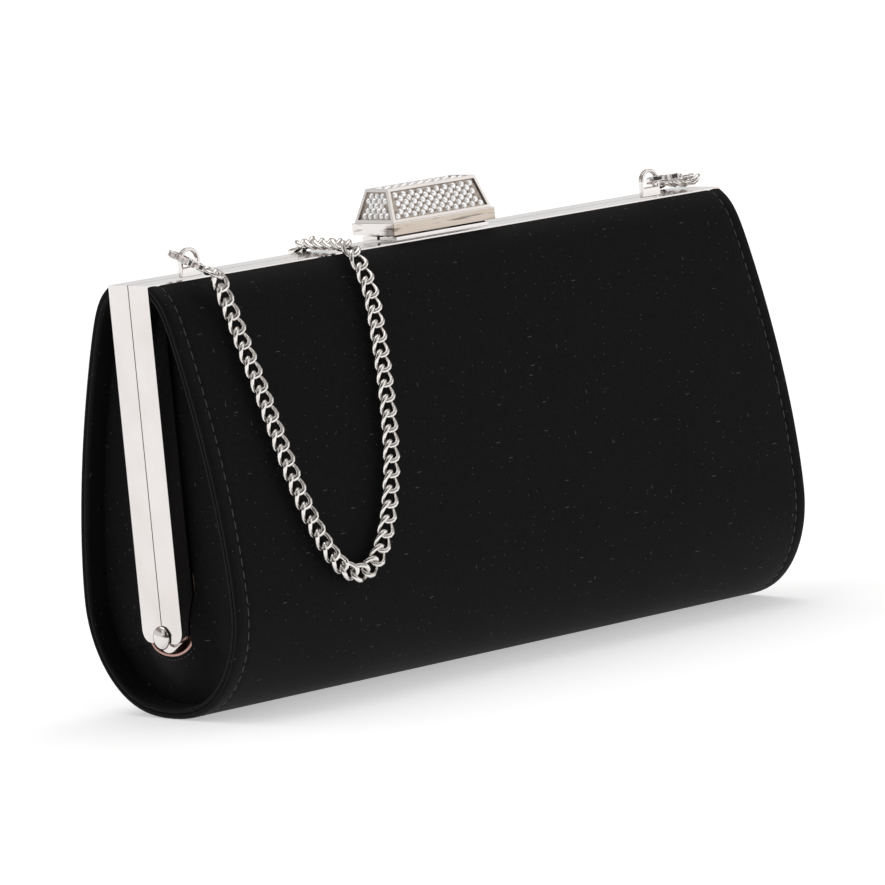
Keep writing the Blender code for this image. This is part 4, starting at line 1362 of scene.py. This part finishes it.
@dataclass
class Hardware:
    """The lugs on the front rail and the lobster clasps with their rings."""

    finishes: Finishes
    # The middle of each lobster clasp's eye, and its tip, in millimetres.
    eye_tip: dict[str, tuple[Triple, Triple]] = field(default_factory=lambda: {
        "left": ((-80.81, -12.74, 107.95), (-83.12, -2.71, 112.35)),
        "right": ((83.69, -4.37, 109.62), (72.60, -5.75, 110.36))})
    roll: dict[str, float] = field(default_factory=lambda: {
        "left": math.radians(16), "right": math.radians(11)})
    half: float = 5.6 * MM
    ring_radius: float = 2.1 * MM
    ring_wire: float = 0.5 * MM
    ring_gap: float = 0.75 * MM
    ball: float = 1.15 * MM
    ball_gap: float = 0.55 * MM

    def place(self, side: str) -> Matrix:
        """A lobster clasp's own frame: X from its eye to its tip, Z through its thickness."""
        eye, tip = metres(self.eye_tip[side])
        along = (tip - eye).normalized()
        level = Vector((0, 0, 1)).cross(along).normalized()
        across = Matrix.Rotation(self.roll[side], 3, along) @ level
        made = Matrix((along, across, along.cross(across))).transposed().to_4x4()
        made.translation = (eye + tip) / 2
        return made

    def ring(self, side: str) -> bpy.types.Mesh:
        """The round wire ring behind a clasp's eye."""
        place = self.place(side)
        centre = Vector((-self.half - self.ring_gap - self.ring_radius, 0, 0))
        rings = []
        for a in circle(40):
            out = Vector((math.cos(a), math.sin(a), 0))
            rings.append([place @ (centre + out * (self.ring_radius + self.ring_wire * math.cos(b))
                                   + Vector((0, 0, self.ring_wire * math.sin(b))))
                          for b in circle(12)])
        return mesh_from(*loft(rings, closed=True))

    def swivel(self, side: str) -> bpy.types.Mesh:
        """The ball of the swivel behind a clasp's eye."""
        place = (self.place(side) @ Matrix.Translation((-self.half - self.ball_gap, 0, 0))
                 @ Matrix.Rotation(-math.pi / 2, 4, "Y"))
        ball = [(-self.ball * math.cos(a), self.ball * math.sin(a))
                for a in steps(0.05, math.pi - 0.05, 14)]
        return turned(ball, place, 20)

    def build(self) -> None:
        """Make the hardware's pieces."""
        f = self.finishes
        for side in ENDS:
            gate = Body(f"trigger_{side}")
            for name, node, mesh, material, body in (
                    ("lug", "chain_lug", refined(f"chain_lug_{side}", 0.28 * MM, 3),
                     f.silver, Body.FRONT),
                    ("claw", "lobster_body", softened(f"lobster_body_{side}", 0.14 * MM, 9),
                     f.silver, Body.FRONT),
                    ("gate", "lobster_trigger", softened(f"lobster_trigger_{side}", 0.12 * MM, 5),
                     f.silver, gate),
                    ("gate_pin", "trigger_pin", refined(f"trigger_pin_{side}", 0.08 * MM, 1),
                     f.steel, Body.FRONT),
                    ("ring", "chain_ring", self.ring(side), f.silver, Body.FRONT)):
                add_piece(f"{name}_{side}", mesh, material, body, [f"{node}_{side}"])
            add_piece(f"swivel_{side}", self.swivel(side), f.silver, Body.FRONT)


@dataclass
class Chain:
    """The curb chain, from the left ring, over the rail, through its coil, to the right ring."""

    finishes: Finishes
    section: Section = field(default_factory=Section)
    pitch: float = 3.75 * MM
    lift: float = 1.9 * MM
    length: float = 1.10
    curve_step: float = 1.5 * MM
    # The coil, in millimetres: its middle, its outer and inner radius, its two heights, how far its
    # end steps outwards, and the angle in degrees where it starts.
    coil_at: Pair = (22.0, 62.0)
    turns: Pair = (23.4, 19.5)
    coil_heights: Pair = (1.6, 3.8)
    coil_exit: float = 3.6
    coil_start: float = -100.0
    # After how many turns the coil steps inwards, goes up a layer, steps outwards, and comes down.
    step_in: Pair = (0.75, 1.25)
    go_up: Pair = (1.9, 2.15)
    step_out: Pair = (2.75, 3.25)
    come_down: Pair = (4.0, 4.2)
    wound: float = 4 * 360.0 + 80
    # The rest of its way, in millimetres: (x, y, z) in the open, and (x, z) where it lies on cloth.
    from_ring: tuple[Triple, ...] = (
        (-79.6, -15.9, 105.2), (-79.2, -16.2, 102.6), (-78.4, -16.3, 99.6))
    front: tuple[Pair, ...] = (
        (-77.5, 95.5), (-76.8, 86), (-75.6, 76), (-74.2, 65), (-72.2, 54), (-69.2, 44.5),
        (-65.5, 37), (-61.5, 32.5), (-57.5, 31), (-53, 32.2), (-48.8, 37), (-45, 45), (-41.6, 55),
        (-39, 66), (-36.8, 77), (-34.8, 88), (-33.4, 96.5))
    over_rails: tuple[Triple, ...] = (
        (-33.5, -12.6, 105.2), (-33.2, -8.8, 107.6), (-32.8, -4.5, 107.8), (-32.5, 0, 107.8),
        (-32.1, 4.6, 107.8), (-31.7, 8.5, 107.6), (-31.3, 11.9, 105.2))
    fall: tuple[Pair, ...] = (
        (-31, 96.5), (-30.8, 84), (-30.8, 70), (-30.6, 56), (-30.2, 43), (-29, 30))
    to_coil: tuple[Triple, ...] = (
        (-26, 31.5, 18), (-23, 32.5, 8), (-17, 33.7, 2.4), (-8, 36.8, 1.6), (3, 37.6, 1.6))
    from_coil: tuple[Triple, ...] = (
        (52, 50, 1.6), (58.5, 42.5, 1.6), (67, 35.5, 2.2), (76, 32.5, 7), (80, 31.5, 17))
    climb: tuple[Pair, ...] = (
        (82.4, 30), (84.4, 43), (86, 56), (87.2, 70), (88.2, 84), (89, 96.5))
    to_ring: tuple[Triple, ...] = (
        (89.6, 12.6, 105.2), (90, 8.9, 107.6), (90.3, 4.6, 107.8), (90.6, 0, 107.8),
        (90.0, -2.4, 108.2))

    def on_shell(self, places: Sequence[Pair], sign: int) -> list[Vector]:
        """Points clear of the shell's cloth.

        Args:
            places: Their (x, z), in millimetres.
            sign: -1 for the shell's front and 1 for its back.

        Returns:
            The points.
        """
        s, made = self.section, []
        for x, z in places:
            z *= MM
            lean = (s.half_width(z + 0.1 * MM) - s.half_width(z - 0.1 * MM)) / (0.2 * MM)
            size = math.hypot(1, lean)
            y = s.half_width(z) if z > s.belly_z else s.belly_radius
            lean = lean if z > s.belly_z else 0.0
            made.append(Vector((x * MM, sign * (y + self.lift / size),
                                z - self.lift * lean / size)))
        return made

    def coil(self) -> list[Vector]:
        """The wound length: two flat turns, and two more on top of them."""
        (cx, cy), (outer, inner), (low, high) = self.coil_at, self.turns, self.coil_heights
        made = []
        for angle in steps(0, self.wound, 110):
            turn = angle / 360
            layer, down = smooth(*self.go_up, turn), smooth(*self.come_down, turn)
            flat = outer + (inner - outer) * smooth(*self.step_in, turn)
            upper = inner + (outer - inner) * smooth(*self.step_out, turn)
            radius = flat + (upper - flat) * layer + self.coil_exit * down
            a = math.radians(self.coil_start + angle)
            made.append((cx + radius * math.cos(a), cy + radius * math.sin(a),
                         low + (high - low) * (layer - down)))
        return metres(made)

    def route(self) -> list[Vector]:
        """The whole chain's route."""
        return (metres(self.from_ring) + self.on_shell(self.front, -1) + metres(self.over_rails)
                + self.on_shell(self.fall, 1) + metres(self.to_coil) + self.coil()
                + metres(self.from_coil) + self.on_shell(self.climb, 1) + metres(self.to_ring))

    def up_at(self, point: Vector) -> Vector:
        """Which way the chain's flat side faces at a place."""
        over_rails = point.z > 103 * MM and abs(point.y) < 14 * MM
        if over_rails:
            tilt = math.copysign(smooth(6.5, 13, abs(point.y) / MM), point.y)
            return Vector((0, tilt, 1.2 - abs(tilt))).normalized()
        down = 1 - smooth(3.0, 12.0, point.z / MM)
        return Vector((0, math.copysign(1 - down, point.y), 0.14 + down)).normalized()

    def links(self, path: Sequence[Vector]) -> bpy.types.Mesh:
        """Every link, each through the next."""
        made = Repeater("curb_links", {"Half length": 2.5 * MM, "Half width": 1.85 * MM,
                                       "Twist": 1.55 * MM, "Wire": 0.66 * MM})
        ring = made.node("GeometryNodeCurvePrimitiveCircle",
                         inputs={"Resolution": 18, "Radius": 1.0})
        at = made.node("GeometryNodeInputPosition")
        split = made.node("ShaderNodeSeparateXYZ", inputs={"Vector": at}).node
        x, y = split.outputs["X"], split.outputs["Y"]
        bent = made.vector(made.product(x, made.size("Half length")),
                           made.product(y, made.size("Half width")),
                           made.product(made.product(x, y), made.size("Twist")))
        ring = made.node("GeometryNodeSetPosition", inputs={"Geometry": ring, "Position": bent})
        wire = made.node("GeometryNodeCurvePrimitiveCircle",
                         inputs={"Resolution": 7, "Radius": made.size("Wire")})
        shape = made.node("GeometryNodeCurveToMesh", inputs={"Curve": ring, "Profile Curve": wire})
        spots, places = Spots(), resampled(path, self.pitch)
        for point, ahead in zip(places, tangents(places)):
            spots.add(point, ahead, self.up_at(point))
        return made.place(spots, shape, self.finishes.links)

    def build(self, fittings: Sequence[str]) -> None:
        path = curve_through(self.route(), self.curve_step)
        log.info("chain path %.3f m", sum((b - a).length for a, b in zip(path, path[1:])))
        piece = add_piece("shoulder_chain", self.links(path), None, RAIL_BEND,
                          ["chain_front", "chain_fall", "chain_climb", "chain_tail", "chain_coil"])


# The studio ---------------------------------------------------------------------------------------

@dataclass
class Studio:
    """The camera, the floor and the lights."""

    azimuth: float = math.radians(40.9)
    elevation: float = math.radians(6.7)
    roll: float = math.radians(-5.42)
    distance: float = 1.885
    target: Triple = (0, 0, 0.0536)
    lens: float = 307.5
    floor_half: float = 14.0
    lit_at: Triple = (0, 0, 0.05)
    # Each light's name, place, size and power.
    lights: tuple[tuple[str, Triple, Pair, float], ...] = (
        ("overhead", (0.15, 0.45, 1.5), (1.6, 1.2), 8),
        ("left_fill", (-1.5, 0.1, 0.9), (0.9, 1.2), 2),
        ("right_fill", (1.35, -1.3, 0.92), (1.1, 0.8), 2.2),
        ("front_fill", (-0.3, -1.9, 1.3), (1.4, 0.9), 2))
    # The surround's level by the sine of the height above the horizon.
    levels: tuple[Pair, ...] = ((0.0, 0.80), (0.24, 0.76), (0.34, 0.34), (0.52, 0.26), (0.68, 0.48))
    # The share of it in front of the bag, and where that sets in, as a cosine from the view.
    dark_side: float = 0.10
    dark_band: Pair = (0.25, 0.75)
    floor_colour: Triple = (0.93, 0.93, 0.935)
    floor_glow: tuple[Triple, Triple] = ((0.46, 0.46, 0.464), (0.9, 0.9, 0.9))

    def camera(self) -> None:
        """The camera at the wanted view."""
        az, el = self.azimuth, self.elevation
        back = Vector((-math.sin(az) * math.cos(el), -math.cos(az) * math.cos(el), math.sin(el)))
        right = Vector((math.cos(az), -math.sin(az), 0))
        up = back.cross(right)
        r = right * math.cos(self.roll) + up * math.sin(self.roll)
        u = -right * math.sin(self.roll) + up * math.cos(self.roll)
        data = bpy.data.cameras.new("studio_camera")
        data.lens, data.sensor_width = self.lens, 36
        data.clip_start, data.clip_end = 0.1, 50
        camera = bpy.data.objects.new("studio_camera", data)
        place = Matrix((r, u, back)).transposed().to_4x4()
        place.translation = Vector(self.target) + back * self.distance
        camera.matrix_world = place
        bpy.context.scene.collection.objects.link(camera)
        bpy.context.scene.camera = camera

    def floor(self) -> None:
        """A plain pale floor."""
        h = self.floor_half
        mesh = bpy.data.meshes.new("floor")
        mesh.from_pydata([(-h, -h, 0), (h, -h, 0), (h, h, 0), (-h, h, 0)], [], [(0, 1, 2, 3)])
        s = Shader("pale_floor", Roughness=0.9, Specular_IOR_Level=0.1)
        s.surface.inputs["Base Color"].default_value = (*self.floor_colour, 1)
        s.surface.inputs["Emission Strength"].default_value = 1.0
        away = s.node("ShaderNodeVectorMath", {"operation": "LENGTH"}, {0: s.place()}, "Value")
        s.feed("Emission Color", s.mixed(away.over(1.6, 1.6), *self.floor_glow))
        mesh.materials.append(s.material)
        new_object("floor", mesh)

    def light(self, name: str, at: Triple, size: Pair, power: float) -> None:
        """One soft area light that faces the bag."""
        data = bpy.data.lights.new(name, "AREA")
        data.shape, data.size, data.size_y = "RECTANGLE", *size
        data.energy = power
        lamp = bpy.data.objects.new(name, data)
        lamp.location = at
        toward = Vector(self.lit_at) - Vector(at)
        lamp.rotation_euler = toward.to_track_quat("-Z", "Y").to_euler()
        bpy.context.scene.collection.objects.link(lamp)

    def world(self) -> None:
        """A surround for the metal to reflect: pale at the horizon, darker above and in front."""
        world = bpy.data.worlds.new("surround")
        bpy.context.scene.world = world
        world.use_nodes = True
        tree = world.node_tree
        background = tree.nodes["Background"]
        outward = add_node(tree, "ShaderNodeTexCoord").outputs["Generated"]
        height = add_node(tree, "ShaderNodeSeparateXYZ", inputs={"Vector": outward}).outputs["Z"]
        ramp = add_node(tree, "ShaderNodeValToRGB", inputs={"Fac": height})
        elements = ramp.color_ramp.elements
        while len(elements) < len(self.levels):
            elements.new(1.0)
        for element, (at, level) in zip(elements, self.levels):
            warmth = 0.6 * max(0.0, 0.5 - level)
            element.position = at
            element.color = level, level * (1 - warmth), level * (1 - 2 * warmth), 1
        front = (-math.sin(self.azimuth), -math.cos(self.azimuth), 0)
        toward = add_node(tree, "ShaderNodeVectorMath", {"operation": "DOT_PRODUCT"},
                          {0: outward, 1: front}).outputs["Value"]
        strength = add_node(tree, "ShaderNodeMapRange", {"interpolation_type": "SMOOTHSTEP"},
                            {"Value": toward, "From Min": self.dark_band[0],
                             "From Max": self.dark_band[1], "To Min": 1.0,
                             "To Max": self.dark_side}).outputs["Result"]
        tree.links.new(strength, background.inputs["Strength"])
        tree.links.new(ramp.outputs["Color"], background.inputs["Color"])

    def build(self) -> None:
        """Set up the studio."""
        self.camera()
        self.floor()
        self.world()
        bpy.context.scene.view_settings.view_transform = "Standard"
        for light in self.lights:
            self.light(*light)


def main() -> None:
    """Build the studio and the bag."""
    logging.basicConfig(level=logging.INFO, format="%(message)s")
    Studio().build()
    finishes = Finishes()
    Hardware(finishes).build()
    fittings = [f"{kind}_{side}" for side in ENDS for kind in ("ring", "swivel", "claw", "gate")]
    Chain(finishes).build(fittings)
    Shell(finishes).build()
    Gussets(finishes).build()
    MetalFrame(finishes).build()
    Clasp(finishes).build()


if __name__ == "__main__":
    main()
